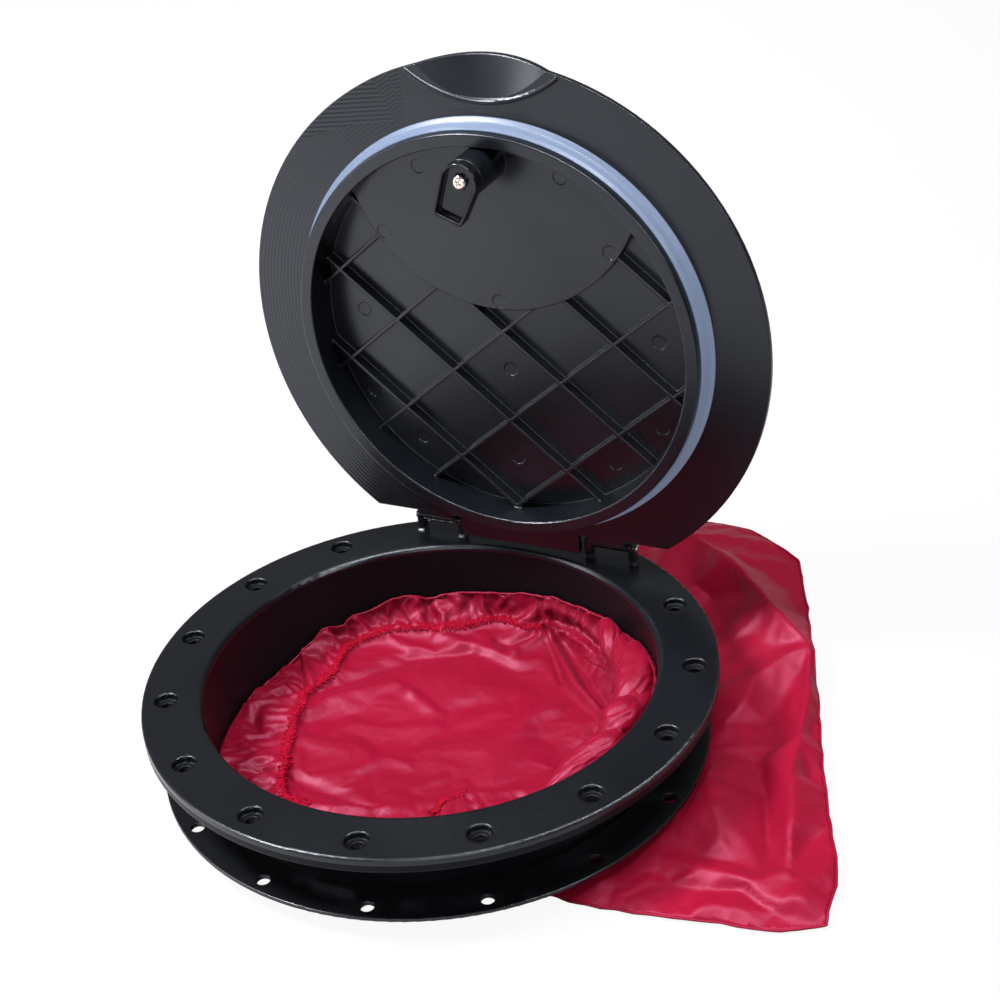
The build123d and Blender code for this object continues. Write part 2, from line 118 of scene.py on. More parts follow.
class Material(Nodes):
    def __init__(self, name):
        super().__init__(bpy.data.materials.new(name), "ShaderNodeOutputMaterial")
        self.coords = self.node("ShaderNodeTexCoord").outputs["Object"]

    def math(self, operation, *values):
        made = self.node("ShaderNodeMath", *values)
        made.operation = operation
        return made.outputs[0]

    def add(self, a, b):
        return self.math("ADD", a, b)

    def sub(self, a, b):
        return self.math("SUBTRACT", a, b)

    def mul(self, a, b):
        return self.math("MULTIPLY", a, b)

    def above(self, value, limit):
        return self.math("GREATER_THAN", value, limit)

    def below(self, value, limit):
        return self.math("LESS_THAN", value, limit)

    def axes(self):
        return self.node("ShaderNodeSeparateXYZ", self.coords).outputs

    def mapped(self, scale=(1, 1, 1), rotation=(0, 0, 0)):
        return self.node(
            "ShaderNodeMapping", Vector=self.coords, Scale=scale, Rotation=rotation
        ).outputs[0]

    def noise(self, scale, detail, roughness=0.5, vector=None, distortion=0.0):
        return self.node(
            "ShaderNodeTexNoise", Vector=vector or self.coords, Scale=scale,
            Detail=detail, Roughness=roughness, Distortion=distortion,
        ).outputs[0]

    def ramp(self, value, *stops):
        """grey ramp through (position, level) stops"""
        made = self.node("ShaderNodeValToRGB", value)
        elements = made.color_ramp.elements
        elements.remove(elements[-1])
        for i, (position, level) in enumerate(stops):
            stop = elements[0] if i == 0 else elements.new(position)
            stop.position = position
            stop.color = (level, level, level, 1)
        return made.outputs[0]

    def mix(self, factor, a, b):
        """mixes colours"""
        made = self.node("ShaderNodeMix")
        made.data_type = "RGBA"
        for index, value in ((0, factor), (6, a), (7, b)):
            self.feed(made.inputs[index], value)
        return made.outputs[2]

    def mix_values(self, factor, a, b):
        made = self.node("ShaderNodeMix", factor)
        self.feed(made.inputs[2], a)
        self.feed(made.inputs[3], b)
        return made.outputs[0]

    def bump(self, height, strength, distance, normal=None):
        made = self.node("ShaderNodeBump", Strength=strength, Distance=distance, Height=height)
        if normal is not None:
            self.feed(made.inputs["Normal"], normal)
        return made.outputs[0]

    def bevel(self, radius):
        made = self.node("ShaderNodeBevel", Radius=radius)
        made.samples = 6
        return made.outputs[0]

    def principled(self, colour, roughness, normal, **inputs):
        return self.node(
            "ShaderNodeBsdfPrincipled", Base_Color=colour, Roughness=roughness,
            Normal=normal, **inputs,
        ).outputs[0]


def shade(colour, factor):
    return tuple(c * factor for c in colour)


# ---------------------------------------------------------------- materials


def plastic(name, base, roughness, grain_bump=0.05, edge=0.0006, marks=None, specular=0.5,
            dull_below=None):
    """satin moulded plastic: mould grain, slow gloss changes, scuffs and eased edges"""
    m = Material(name)
    slow = m.noise(scale=14, detail=3, roughness=0.6)
    grain = m.noise(scale=2600, detail=2, roughness=0.6)
    stretched = m.mapped(scale=(1, 0.12, 1), rotation=(0.3, 0.2, 0.5))
    scuff = m.noise(scale=420, detail=4, roughness=0.7, vector=stretched)
    rough = m.add(m.mul(m.sub(slow, 0.5), 0.16), roughness)
    rough = m.add(rough, m.mul(m.ramp(scuff, (0.0, 0.0), (0.62, 0.0), (0.8, 1.0)), 0.10))
    tone = m.mix(slow, shade(base, 0.8), shade(base, 1.25))
    normal = m.bump(grain, strength=grain_bump, distance=0.0004, normal=m.bevel(edge))
    normal = m.bump(slow, strength=0.06, distance=0.0015, normal=normal)
    if marks is not None:
        normal, rough = marks(m, normal, rough)
    if dull_below is not None:
        # rougher and less shiny under this height
        low = m.below(m.axes()["Z"], dull_below)
        rough = m.add(rough, m.mul(low, 0.14))
        specular = m.sub(specular, m.mul(low, 0.38))
    return m.finish(m.principled(
        tone, rough, normal, Specular_IOR_Level=specular, Specular_Tint=(0.86, 0.91, 1.0)
    ))


LID_CENTRE_Z = 0.1229
ARC_PITCH = 0.0018
HATCH_PITCH = 0.0020
STEEP_HATCH_PITCH = 0.0017
HATCH_ACROSS = (-0.1135, 0.9935)  # x and z parts of the direction across the hatching
STEEP_ACROSS = (-0.52, 0.85)
HATCH_SECTOR = (1.93, 2.44)  # angles (rad) about the lid centre
STEEP_UNTIL = 1.99
FLAT_RADIUS = 0.1035  # the marked flat starts here
LIP_HALF_WIDTH = 0.0385
LIP_HEIGHT = 0.1062
LIP_CURVE = 8.6  # drop of the lip's edge with x squared


def lid_marks(m, normal, rough):
    """fine lines on the lid flat (XZ): arcs about its centre and straight hatching"""

    def ripple(distance, pitch):
        return m.math("SINE", m.mul(distance, 2 * math.pi / pitch))

    def across(direction):
        return m.add(m.mul(x, direction[0]), m.mul(z, direction[1]))

    axes = m.axes()
    x, z = axes["X"], m.sub(axes["Z"], LID_CENTRE_Z)
    radius = m.math("SQRT", m.add(m.mul(x, x), m.mul(z, z)))
    angle = m.math("ARCTAN2", z, x)
    wobble = m.mul(m.noise(scale=22, detail=2), 0.0035)
    arcs = ripple(m.add(radius, wobble), ARC_PITCH)
    hatch = ripple(m.add(across(HATCH_ACROSS), m.mul(wobble, 0.08)), HATCH_PITCH)
    steep_hatch = ripple(across(STEEP_ACROSS), STEEP_HATCH_PITCH)
    hatching = m.mix_values(m.below(angle, STEEP_UNTIL), hatch, steep_hatch)
    # hatching fills one sector, outside a limit that spirals outwards
    sector = m.mul(m.above(angle, HATCH_SECTOR[0]), m.below(angle, HATCH_SECTOR[1]))
    limit = m.add(0.1085, m.mul(m.sub(angle, 2.04), 0.0507))
    far = m.above(m.add(radius, m.mul(wobble, 0.5)), limit)
    lines = m.mix_values(m.mul(sector, far), arcs, hatching)
    # deeper towards -X, on the flat only, and not on the lip at the top
    fade = m.ramp(m.add(m.mul(x, -4.2), 0.5), (0.35, 0.12), (0.85, 1.0))
    lip_x = m.below(m.math("ABSOLUTE", x), LIP_HALF_WIDTH)
    lip_z = m.above(m.add(z, m.mul(m.mul(x, x), LIP_CURVE)), LIP_HEIGHT)
    flat = m.mul(m.above(radius, FLAT_RADIUS), m.sub(1.0, m.mul(lip_x, lip_z)))
    depth = m.mul(m.mul(fade, flat), 1.0)
    normal = m.bump(lines, strength=m.mul(depth, 0.75), distance=0.000045, normal=normal)
    return normal, m.add(rough, m.mul(m.mul(depth, lines), 0.035))


def metal(name, base, roughness):
    """brushed metal with a slightly uneven tone"""
    m = Material(name)
    brushed = m.noise(scale=900, detail=3, roughness=0.6, vector=m.mapped(scale=(1, 1, 0.08)))
    slow = m.noise(scale=60, detail=2)
    rough = m.add(m.mul(brushed, 0.16), roughness - 0.08)
    normal = m.bump(brushed, strength=0.08, distance=0.0001, normal=m.bevel(0.00025))
    tone = m.mix(slow, shade(base, 0.88), base)
    return m.finish(m.principled(tone, rough, normal, Metallic=1.0))


def rubber(name, base, roughness, **inputs):
    """fine-grained rubber with a little dark dust; inputs go to the principled shader"""
    m = Material(name)
    grain = m.noise(scale=1500, detail=3, roughness=0.6)
    slow = m.noise(scale=25, detail=3, roughness=0.6)
    specks = m.noise(scale=300, detail=4, roughness=0.75)
    dust = m.ramp(specks, (0.0, 0.0), (0.6, 0.0), (0.75, 1.0))
    tone = m.mix(slow, shade(base, 0.93), base)
    tone = m.mix(m.mul(dust, 0.08), tone, shade(base, 0.6))
    rough = m.add(m.mul(slow, 0.12), roughness)
    normal = m.bump(grain, strength=0.05, distance=0.0003, normal=m.bevel(0.0004))
    return m.finish(m.principled(tone, rough, normal, **inputs))


def nylon(name, base, deep, bright):
    """thin woven nylon: plain weave, faint sheen, some light passing through"""
    m = Material(name)
    turned = m.mapped(rotation=(0.0, 0.0, 0.42))

    def threads(direction):
        wave = m.node("ShaderNodeTexWave", Vector=turned, Scale=3.14159 * 100 / 2.2,
                      Distortion=0.6, Detail=1)
        wave.wave_type = "BANDS"
        wave.bands_direction = direction
        return wave.outputs["Fac"]

    weave = m.mul(m.add(threads("X"), threads("Y")), 0.5)
    creases = m.noise(
        scale=75, detail=4, roughness=0.62, distortion=0.6,
        vector=m.mapped(scale=(1, 0.35, 1), rotation=(0.1, 0.2, -0.4)),
    )
    fine = m.noise(
        scale=260, detail=3, roughness=0.6, distortion=0.5,
        vector=m.mapped(scale=(0.5, 1, 1), rotation=(0, 0, 0.5)),
    )
    slow = m.noise(scale=18, detail=3, roughness=0.55)
    tone = m.mix(m.ramp(slow, (0.3, 0.0), (0.7, 1.0)), deep, base)
    tone = m.mix(m.mul(weave, 0.10), tone, bright)
    normal = m.bump(creases, strength=0.10, distance=0.0010)
    normal = m.bump(fine, strength=0.10, distance=0.0004, normal=normal)
    normal = m.bump(weave, strength=0.35, distance=0.00006, normal=normal)
    surface = m.principled(
        tone, m.add(m.mul(fine, 0.10), 0.46 - 0.05), normal,
        Specular_IOR_Level=0.30, Specular_Tint=(1.0, 0.40, 0.68),
        Sheen_Weight=0.08, Sheen_Roughness=0.35, Sheen_Tint=(1.0, 0.28, 0.50),
    )
    through = m.node("ShaderNodeBsdfTranslucent", Color=bright, Normal=normal).outputs[0]
    return m.finish(m.mix_shader(0.08, surface, through))


def thread(name):
    m = Material(name)
    twist = m.noise(scale=1800, detail=2, vector=m.mapped(scale=(1, 0.3, 1)))
    tone = m.mix(twist, (0.13, 0.0006, 0.0065), (0.22, 0.0012, 0.0125))
    normal = m.bump(twist, strength=0.4, distance=0.0002)
    return m.finish(m.principled(
        tone, roughness=0.65, normal=normal,
        Specular_IOR_Level=0.10, Specular_Tint=(1.0, 0.4, 0.6),
    ))


FRAME_PLASTIC = plastic("moulded_black_frame", base=(0.0022, 0.0025, 0.0034), roughness=0.25,
                        edge=0.0015, dull_below=0.0035)
RING_PLASTIC = plastic("moulded_black_ring", base=(0.0036, 0.0039, 0.0048), roughness=0.28)
LID_PLASTIC = plastic("moulded_black_lid", base=(0.0023, 0.0028, 0.0042), roughness=0.25,
                      edge=0.0008, marks=lid_marks)
LATCH_PLASTIC = plastic("moulded_black_latch", base=(0.0026, 0.0028, 0.0036), roughness=0.15,
                        grain_bump=0.02, edge=0.0007, specular=0.36)
WASHER_PLASTIC = plastic("moulded_black_washer", base=(0.0120, 0.0120, 0.0125),
                         roughness=0.42, grain_bump=0.03)
BLACK_RUBBER = rubber("black_rubber", base=(0.012, 0.012, 0.012), roughness=0.55)
# the emission paints a faint cool glow on the seal: painted light, the seal is no lamp
SILICONE_PAINTED_GLOW = rubber(
    "pale_silicone_painted_glow", base=(0.058, 0.078, 0.122), roughness=0.30,
    Emission_Color=(0.50, 0.62, 0.90), Emission_Strength=0.18,
    Subsurface_Weight=0.25, Subsurface_Scale=0.004, Subsurface_Radius=(1.0, 1.0, 1.2),
)
PIN_STEEL = metal("pin_steel", base=(0.50, 0.49, 0.47), roughness=0.26)
SCREW_STEEL = metal("screw_steel", base=(0.80, 0.74, 0.66), roughness=0.20)
NYLON = nylon("crimson_nylon", base=(0.170, 0.0011, 0.0130), deep=(0.138, 0.0008, 0.0098),
              bright=(0.22, 0.0028, 0.0204))
# painted shade: a darker copy of the same crimson nylon, used for the pieces inside the opening
NYLON_INSIDE_PAINTED_SHADE = nylon("crimson_nylon_inside_painted_shade", base=(0.148, 0.0009, 0.0115),
                     deep=(0.126, 0.0008, 0.0089), bright=(0.192, 0.0023, 0.0182))
THREAD = thread("crimson_thread")

for part, material in {
    "deck_frame": FRAME_PLASTIC,
    "backing_ring": RING_PLASTIC,
    "lid_shell": LID_PLASTIC,
    "lid_seal": SILICONE_PAINTED_GLOW,
    "hinge_pin_left": PIN_STEEL,
    "hinge_pin_right": PIN_STEEL,
    "latch_knob": LATCH_PLASTIC,
    "latch_o_ring": BLACK_RUBBER,
    "latch_washer": WASHER_PLASTIC,
    "latch_cam": LATCH_PLASTIC,
    "latch_screw": SCREW_STEEL,
}.items():
    paint(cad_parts[part], material)


# ---------------------------------------------------------------- mesh tools


def dress(ob, material, replaces=None, slot="bag_nylon"):
    """paints a bag piece, hangs it on the frame body and hides the part it replaces"""
    paint(ob, material)
    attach(ob, "frame")
    if replaces:
        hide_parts(replaces)


def bag_piece(name, mesh, material, **roles):
    verts, faces = mesh
    dress(new_mesh(name, to_frame(verts), faces), material, **roles)


def triangulate(points, edges):
    """flat triangulation: positions, triangles and the input points behind each position"""
    verts, _, faces, sources, *_ = delaunay_2d_cdt([Vector(p) for p in points], edges, [], 1, 1e-5)
    return np.array([tuple(v) for v in verts]), [tuple(f) for f in faces], sources


def loop_edges(count):
    return [(i, (i + 1) % count) for i in range(count)]


def hexes(x0, x1, y0, y1, step):
    """triangular grid of points over a rectangle"""
    points = []
    row = 0
    y = y0
    while y < y1:
        x = x0 + (step / 2 if row % 2 else 0)
        while x < x1:
            points.append((x, y))
            x += step
        y += step * 0.866
        row += 1
    return np.array(points)


def bell_along(points, line, width):
    """how near each point is to a polyline, as a bell of the given width"""
    line = np.array(line, float)
    nearest = np.full(len(points), 1e9)
    for start, end in zip(line[:-1], line[1:]):
        run = end - start
        t = np.clip(((points - start) @ run) / max(run @ run, 1e-9), 0, 1)
        gap = np.linalg.norm(points - (start + t[:, None] * run), axis=1)
        nearest = np.minimum(nearest, gap)
    return np.exp(-((nearest / width) ** 2))


def vertex_normals(points, tris):
    normals = np.zeros_like(points)
    first, second, third = (points[tris[:, k]] for k in range(3))
    face_normals = np.cross(second - first, third - first)
    for k in range(3):
        np.add.at(normals, tris[:, k], face_normals)
    normals /= np.maximum(np.linalg.norm(normals, axis=1), 1e-12)[:, None]
    down = normals[:, 2] < 0
    if down.mean() > 0.5:
        normals[down] *= -1
    return normals


def relax(points, tris, rounds, weight, hold=0.0):
    """moves points towards the mean of their neighbours; hold (0 to 1) resists this"""
    pairs = np.concatenate([tris[:, [0, 1]], tris[:, [1, 2]], tris[:, [2, 0]]])
    pairs = np.concatenate([pairs, pairs[:, ::-1]])
    count = np.zeros(len(points))
    np.add.at(count, pairs[:, 0], 1)
    move = (weight * (1 - hold) * np.ones(len(points)))[:, None]
    for _ in range(rounds):
        total = np.zeros_like(points)
        np.add.at(total, pairs[:, 0], points[pairs[:, 1]])
        mean = total / np.maximum(count, 1)[:, None]
        points = points + (mean - points) * move
    return points


def settle_cloth(ob, pins, growth, frames, cap):
    """lets the cloth grow a little so that it buckles into creases; returns the new
    positions (m), none further than cap from where it was"""
    before = np.array([v.co for v in ob.data.vertices], float)
    group = ob.vertex_groups.new(name="held")
    for i, pin in enumerate(pins):
        if pin > 0.01:
            group.add([i], float(min(1, pin)), "REPLACE")
    modifier = ob.modifiers.new("settle", "CLOTH")
    cloth = modifier.settings
    cloth.quality = 5
    cloth.mass = 0.08
    cloth.tension_stiffness = cloth.compression_stiffness = 18
    cloth.shear_stiffness = 9
    cloth.bending_stiffness = 0.8
    cloth.tension_damping = cloth.compression_damping = cloth.shear_damping = 6
    cloth.air_damping = 2.0
    cloth.vertex_group_mass = "held"
    cloth.pin_stiffness = 1.0
    cloth.shrink_min = -growth
    cloth.effector_weights.gravity = 0.0
    modifier.collision_settings.use_collision = False
    modifier.collision_settings.use_self_collision = False
    modifier.point_cache.frame_start = 1
    modifier.point_cache.frame_end = frames
    for f in range(1, frames + 1):
        scene.frame_set(f)
    evaluated = ob.evaluated_get(bpy.context.evaluated_depsgraph_get())
    after = np.array([v.co for v in evaluated.to_mesh().vertices], float)
    evaluated.to_mesh_clear()
    ob.modifiers.remove(modifier)
    ob.vertex_groups.remove(group)
    scene.frame_set(1)
    move = after - before
    move[~np.isfinite(move).all(axis=1)] = 0
    length = np.linalg.norm(move, axis=1)
    move *= np.minimum(1, cap / np.maximum(length, 1e-12))[:, None]
    return before + move


def sweep_axes(path, closed=False):
    """two unit vectors square to the path at each of its points"""
    tangent = np.roll(path, -1, 0) - np.roll(path, 1, 0) if closed else np.gradient(path, axis=0)
    tangent /= np.maximum(np.linalg.norm(tangent, axis=1), 1e-12)[:, None]
    side = np.cross(tangent, np.array([0.0, 0.0, 1.0]))
    upright = np.linalg.norm(side, axis=1) < 1e-3
    side[upright] = np.cross(tangent[upright], np.array([1.0, 0, 0]))
    side /= np.linalg.norm(side, axis=1)[:, None]
    return side, np.cross(side, tangent)


def sweep_faces(rings, sides, closed=False):
    """quads between consecutive rings; an open sweep gets end caps"""
    faces = []
    for i in range(rings if closed else rings - 1):
        j = (i + 1) % rings
        for k in range(sides):
            l = (k + 1) % sides
            faces.append((i * sides + k, j * sides + k, j * sides + l, i * sides + l))
    if not closed:
        faces.append(tuple(range(sides - 1, -1, -1)))
        faces.append(tuple((rings - 1) * sides + k for k in range(sides)))
    return faces


def tube(points, radius, sides, closed=False):
    """round cord along points; radius is one number or one per point"""
    path = np.array(points, float)
    side, rise = sweep_axes(path, closed)
    radii = np.full(len(path), radius, float)[:, None]
    lanes = []
    for k in range(sides):
        t = 2 * math.pi * k / sides
        lanes.append(path + (side * math.cos(t) + rise * math.sin(t)) * radii)
    return np.stack(lanes, 1).reshape(-1, 3), sweep_faces(len(path), sides, closed)


def join(parts):
    verts, faces, offset = [], [], 0
    for part_verts, part_faces in parts:
        verts.append(part_verts)
        faces += [tuple(i + offset for i in face) for face in part_faces]
        offset += len(part_verts)
    return np.concatenate(verts), faces


# ---------------------------------------------------------------- liner in the opening

WALL_R = 100.3  # where the liner meets the neck wall
PANEL_Z = -41.6  # bottom panel
BAND_Z = PANEL_Z + 3.0  # sewn band round the panel
LINER_TOP_Z = -12.0
LINER_LOW_Z = -44.6
BORE_R = 100.7
BELOW_NECK_R = 104.0
NECK_END_Z = -40.8
STROKE_RELIEF = 1.35  # scale on the stroke heights
STROKE_SPREAD = 0.85  # scale on the stroke widths

# (angle in degrees, height of the hem at the neck wall)
HEM_HEIGHT = [
    (-180, -39.0), (-172, -39.6), (-160, -39.6), (-140, -38), (-120, -34.5), (-100, -33.5),
    (-80, -33.5), (-60, -31), (-40, -26), (-20, -20), (0, -16), (15, -13.4), (26.8, -12.9),
    (37.9, -17), (45.4, -19.2), (55.5, -22.0), (61.5, -21.4), (69.4, -22.1), (76.6, -22.8),
    (81, -22.0), (83.8, -23.2), (87.4, -23.2), (93.6, -24.7), (95.7, -25.6), (103.0, -25.4),
    (110.1, -26.4), (115.2, -27.2), (119.2, -28.8), (121.4, -26.4), (125.1, -25.0),
    (128, -25.0), (130.5, -26.4), (133.5, -27.7), (136.6, -29.1), (140.6, -28.6),
    (142.5, -30.1), (143.5, -32.4), (146, -31.9), (148.2, -29.4), (150.1, -29.5),
    (153.8, -33.3), (158, -35.3), (162.9, -39.0), (168.7, -39.6), (173.2, -39.2),
    (178, -38.4), (180, -39.0),
]
# (angle in degrees, radius of the sewn band)
BAND_RADIUS = [
    (-180, 72.6), (-176, 71.7), (-161, 68.7), (-146, 70), (-128, 76.3), (-118, 72),
    (-108, 62), (-90, 52), (-69, 47), (-45, 44), (-30, 52), (-16, 64), (7.5, 80), (22, 87),
    (35, 91), (60, 92.5), (74, 94), (82.3, 95.5), (86.5, 91.5), (92, 94), (96.5, 96.2),
    (101, 93), (107.3, 87), (115.5, 86.5), (123.4, 90), (130, 93), (135.4, 91.7),
    (142, 91.5), (148, 88), (157.5, 76.2), (166.5, 74.5), (171.7, 77), (180, 72.6),
]
# folds drawn on the liner: (width, height, line of (x, y, z)); below 0 is a furrow
STROKES = [
    (5, 1.6, [(-70, -3, -39.6), (-62, 14, -41.3), (-40, 32, -41.6), (-29, 28, -41.6)]),
    (4, 1, [(-29, 28, -41.6), (-11, 19, -41.6)]),
    (6, -1.2, [(-67, -5, -40.4), (-48, 6, -41.6), (-25, 11, -41.6), (-11, 18, -41.6),
               (4, 35, -41.6)]),
    (6, 1.2, [(-63, -19, -40.1), (-44, -19, -41.6), (-26, -20, -41.6)]),
    (4, 1, [(-25, -30, -41.6), (-18, -19, -41.6), (-7, -19, -41.6)]),
    (4, -1.6, [(-49, -45, -40.8), (-27, -49, -41.5), (-5, -54, -39)]),
    (4, 0.8, [(5, -31, -41.5), (12, -24, -41.5)]),
    (8, -1, [(-64, -14, -40.4), (-37, -7, -41.6), (-10, -1, -41.6), (14, 14, -41.6)]),
    (2.5, 1.3, [(-41, -61, -39.2), (-20.2, -61.8, -38.5), (1, -53.5, -38.5)]),
    (5, -1.6, [(-72, 16, -39.3), (-56, 38, -41.6), (-40, 59, -41.5), (-18, 69, -41.5)]),
    (4, 1.2, [(-62, 66, -39.5), (-46, 63, -41.4), (-33, 64, -41.5), (-24, 70, -41.4)]),
    (4, 1.2, [(-36, 75, -40.1), (-22, 73, -41.3), (-5, 72, -41.6), (10, 68, -41.6)]),
    (5, 1.2, [(32, 22, -41.6), (33, 31, -41.6), (41, 40, -41.6)]),
    (7, -1.2, [(36, 21, -41.6), (52, 14, -41.6), (68, 5, -41.2)]),
    (4, 0.8, [(31, 15, -41.6), (37, 20, -41.6)]),
    (6, -1, [(-5, 16, -41.6), (3, 29, -41.6), (17, 37, -41.6)]),
    (3.2, 3.6, [(14, 93, -39.1), (28, 76, -41.4), (44, 57, -41.5), (68, 37, -41.3)]),
    (2.2, -2.2, [(15, 90, -40.2), (26, 75, -41.4), (35, 61, -41.6)]),
    (5, -3, [(24, 89, -39.6), (40, 73, -41.1), (55, 56, -41.4), (67, 44, -41.2)]),
    (3.5, 2.2, [(14, 93, -39.1), (10, 84, -41.2), (5, 74, -41.5)]),
    (3, -1.8, [(-7, 81, -41.4), (-1, 81, -41.3), (8, 89, -40.2)]),
    (2.6, 1.4, [(13.6, 98.7, -27.8), (33.2, 93.2, -29.7), (47, 84.4, -34.4)]),
    (2.2, -1.5, [(17.2, 96.3, -34.6), (32.5, 91.7, -34.2), (47.2, 81.7, -37.2)]),
    (2.6, 1.3, [(18.7, 94.3, -37.3), (34.8, 87.4, -38.1), (50.4, 79.1, -37.6),
                (58.9, 70.9, -38.5)]),
    (2.4, 1.6, [(12.3, 99.5, -23), (13, 98.1, -30.8), (13.9, 94.4, -38.2)]),
    (2, -1.4, [(8.1, 99.6, -25.9), (9.5, 97.5, -32.8), (10, 93.7, -38.3)]),
    (3, 1.2, [(0, 94.7, -37.4), (4.7, 97.7, -32.4), (10.1, 98.9, -28.4)]),
    (2, -1.2, [(-21.3, 97.4, -28.1), (-19.1, 96.3, -32.8), (-14.9, 94.2, -37.9)]),
    (2, 1.2, [(-22.2, 97.3, -27.7), (-21.2, 95.2, -33.4), (-19.8, 92, -37.3)]),
    (3, 1.6, [(-11.7, 99.6, -25.8), (-7.5, 98.9, -31.5)]),
    (2.2, 1.7, [(-93.2, 36.9, -35.6), (-86.2, 28.7, -38.4), (-75.5, 16.1, -38.7)]),
    (2, -1.6, [(-93.6, 35.1, -36.5), (-87.2, 26.7, -38.8), (-79, 13.2, -38.7)]),
    (3, 1.6, [(-85.5, 52.2, -29.7), (-79.9, 48.9, -36.5), (-78.1, 38.5, -37.9),
              (-75, 27.4, -38.5)]),
    (2.4, -1.4, [(-82.6, 55.4, -33.3), (-78.9, 52.9, -36.9), (-78.3, 45.2, -37.4)]),
    (3, 1.8, [(-78, 62.9, -29.3), (-73.9, 64.2, -34.3), (-69.6, 63.6, -37.5)]),
    (2.2, -1.4, [(-79.3, 61.4, -30), (-79.4, 58.8, -34.7), (-74.8, 56.9, -37.6)]),
    (3, 1.8, [(-62.5, 78.1, -27), (-63.8, 75.2, -32.3), (-56.7, 73.6, -38.1)]),
    (2.2, -1.6, [(-61.1, 78.7, -28.2), (-61.5, 75.9, -33.6), (-55.6, 74.5, -37.8)]),
    (3.4, 1.6, [(-52.4, 85.1, -27.8), (-48.8, 84, -33.7), (-49.8, 76.7, -37.9)]),
    (2.4, -1.8, [(-49.2, 87.1, -29.3), (-43.5, 85, -35), (-39, 79, -38.3)]),
    (3, 1.4, [(-43.9, 86.9, -33.1), (-38.7, 85.4, -35.8), (-37, 80, -38.2)]),
    (3, 1.4, [(-31.7, 93.1, -30.8), (-27.6, 90.6, -35.1), (-27, 85.9, -37.7)]),
    (3, 1.6, [(-95.3, -6.1, -40.1), (-89.6, 0, -39.4), (-80.4, 7.1, -38.7)]),
    (2.4, -1.6, [(-89.4, 7.2, -38.8), (-84.1, 6.2, -38.7), (-81.4, 11.2, -38.8)]),
    (2, 1.2, [(-99.6, 8.8, -39.4), (-91.2, 9.2, -39), (-88.2, 13.3, -39.2)]),
    (2.4, -1.5, [(-84, -28, -39.3), (-76.5, -22.7, -38.9), (-70.5, -14.1, -38.6)]),
    (2.6, 1.3, [(-82.8, -34.2, -39.2), (-69.1, -38.1, -38.7), (-58.2, -41.1, -38.6)]),
    (3, 1.6, [(-76.4, -48.5, -38.7), (-71.5, -41.4, -38.7), (-59.7, -43.5, -38.6)]),
    (2, -1.4, [(-70.4, -52.8, -38.5), (-64.9, -47.4, -38.6), (-57.7, -48.6, -38.6)]),
    (2, 1.2, [(-64, -56.8, -38.4), (-61.4, -49.1, -38.6), (-49.3, -59.3, -38.6)]),
    (3, -1.2, [(-91.4, -8.2, -39.7), (-88.7, -16.5, -39.5), (-84, -20.7, -39.2)]),
]


def table_at(angle, table):
    table = np.array(table, float)
    return np.interp((angle + 180) % 360 - 180, table[:, 0], table[:, 1])


def band_radius(angle):
    before, here, after = (table_at(angle + turn, BAND_RADIUS) for turn in (-2, 0, 2))
    return 0.25 * before + 0.5 * here + 0.25 * after


def hem_length(angle):
    """cloth between the band and the hem, with a little slack"""
    reach = WALL_R - band_radius(angle)
    return np.hypot(reach, table_at(angle, HEM_HEIGHT) - BAND_Z) * 1.04 + 2


def hem_wave(angle):
    return 0.9 * noise.noise((angle / DEG_PER_RAD * 100 * 0.16, 2.2, 0.0))


def lay_liner(x, y):
    """flat pattern -> laid-in shape; climb is 0 at the band, 1 at the wall, negative on
    the bottom panel"""
    angle = np.degrees(np.arctan2(y, x))
    rho = np.hypot(x, y)
    band = band_radius(angle)
    top = table_at(angle, HEM_HEIGHT)
    climb = (rho - band) / hem_length(angle)
    # quadratic curve from the band to the hem
    q = np.clip(climb, 0, 1)
    bend_r = band + (WALL_R - band) * 0.80
    bend_z = BAND_Z + (top - BAND_Z) * 0.22
    wall_r = (1 - q) ** 2 * band + 2 * q * (1 - q) * bend_r + q * q * WALL_R
    wall_z = (1 - q) ** 2 * BAND_Z + 2 * q * (1 - q) * bend_z + q * q * top
    panel_z = PANEL_Z + 3.0 * np.exp(-np.clip(band - rho, 0, None) / 5.0)
    r = np.where(climb > 0, wall_r, rho)
    z = np.where(climb > 0, wall_z, panel_z)
    t = np.radians(angle)
    return np.stack([r * np.cos(t), r * np.sin(t), z], 1), climb, angle, rho - band


def gather(angle, climb):
    """relief of the tucks: many fine ones at the band, fewer and deeper towards the wall"""
    if climb < -0.25:
        return 0.0
    arc = angle / 57.2958 * 60  # length round a 60 mm circle
    lean = 5.0 * noise.noise((arc * 0.05, climb * 1.5, 3.1))
    broad = noise.noise(((arc + lean) * 0.135, climb * 0.7, 7.7))
    mid = noise.noise(((arc + lean) * 0.30, climb * 0.9, 1.3))
    small = noise.noise(((arc + lean * 0.5) * 0.80, climb * 1.6, 5.9))
    q = np.clip(climb, 0, 1)
    body = q ** 0.45 * (1 - 0.35 * q)
    near_band = math.exp(-((climb - 0.12) / 0.34) ** 2)
    relief = (
        3.2 * broad * body
        + 3.0 * (0.4 - abs(mid) * 2) * body
        + 1.9 * (0.35 - abs(small) * 1.6) * near_band
    )
    if climb < 0:
        relief *= math.exp(-((climb) / 0.10) ** 2)
    return relief


def keep_inside(points):
    """stays in the neck bore, above the floor layer and below the closed lid's skirt"""
    r = np.hypot(points[:, 0], points[:, 1])
    limit = np.where(points[:, 2] > NECK_END_Z, BORE_R, BELOW_NECK_R)
    scale = np.minimum(1, limit / np.maximum(r, 1e-9))
    points[:, 0] *= scale
    points[:, 1] *= scale
    points[:, 2] = np.maximum(points[:, 2], LINER_LOW_Z)
    points[:, 2] = np.minimum(points[:, 2], LINER_TOP_Z)
    return points


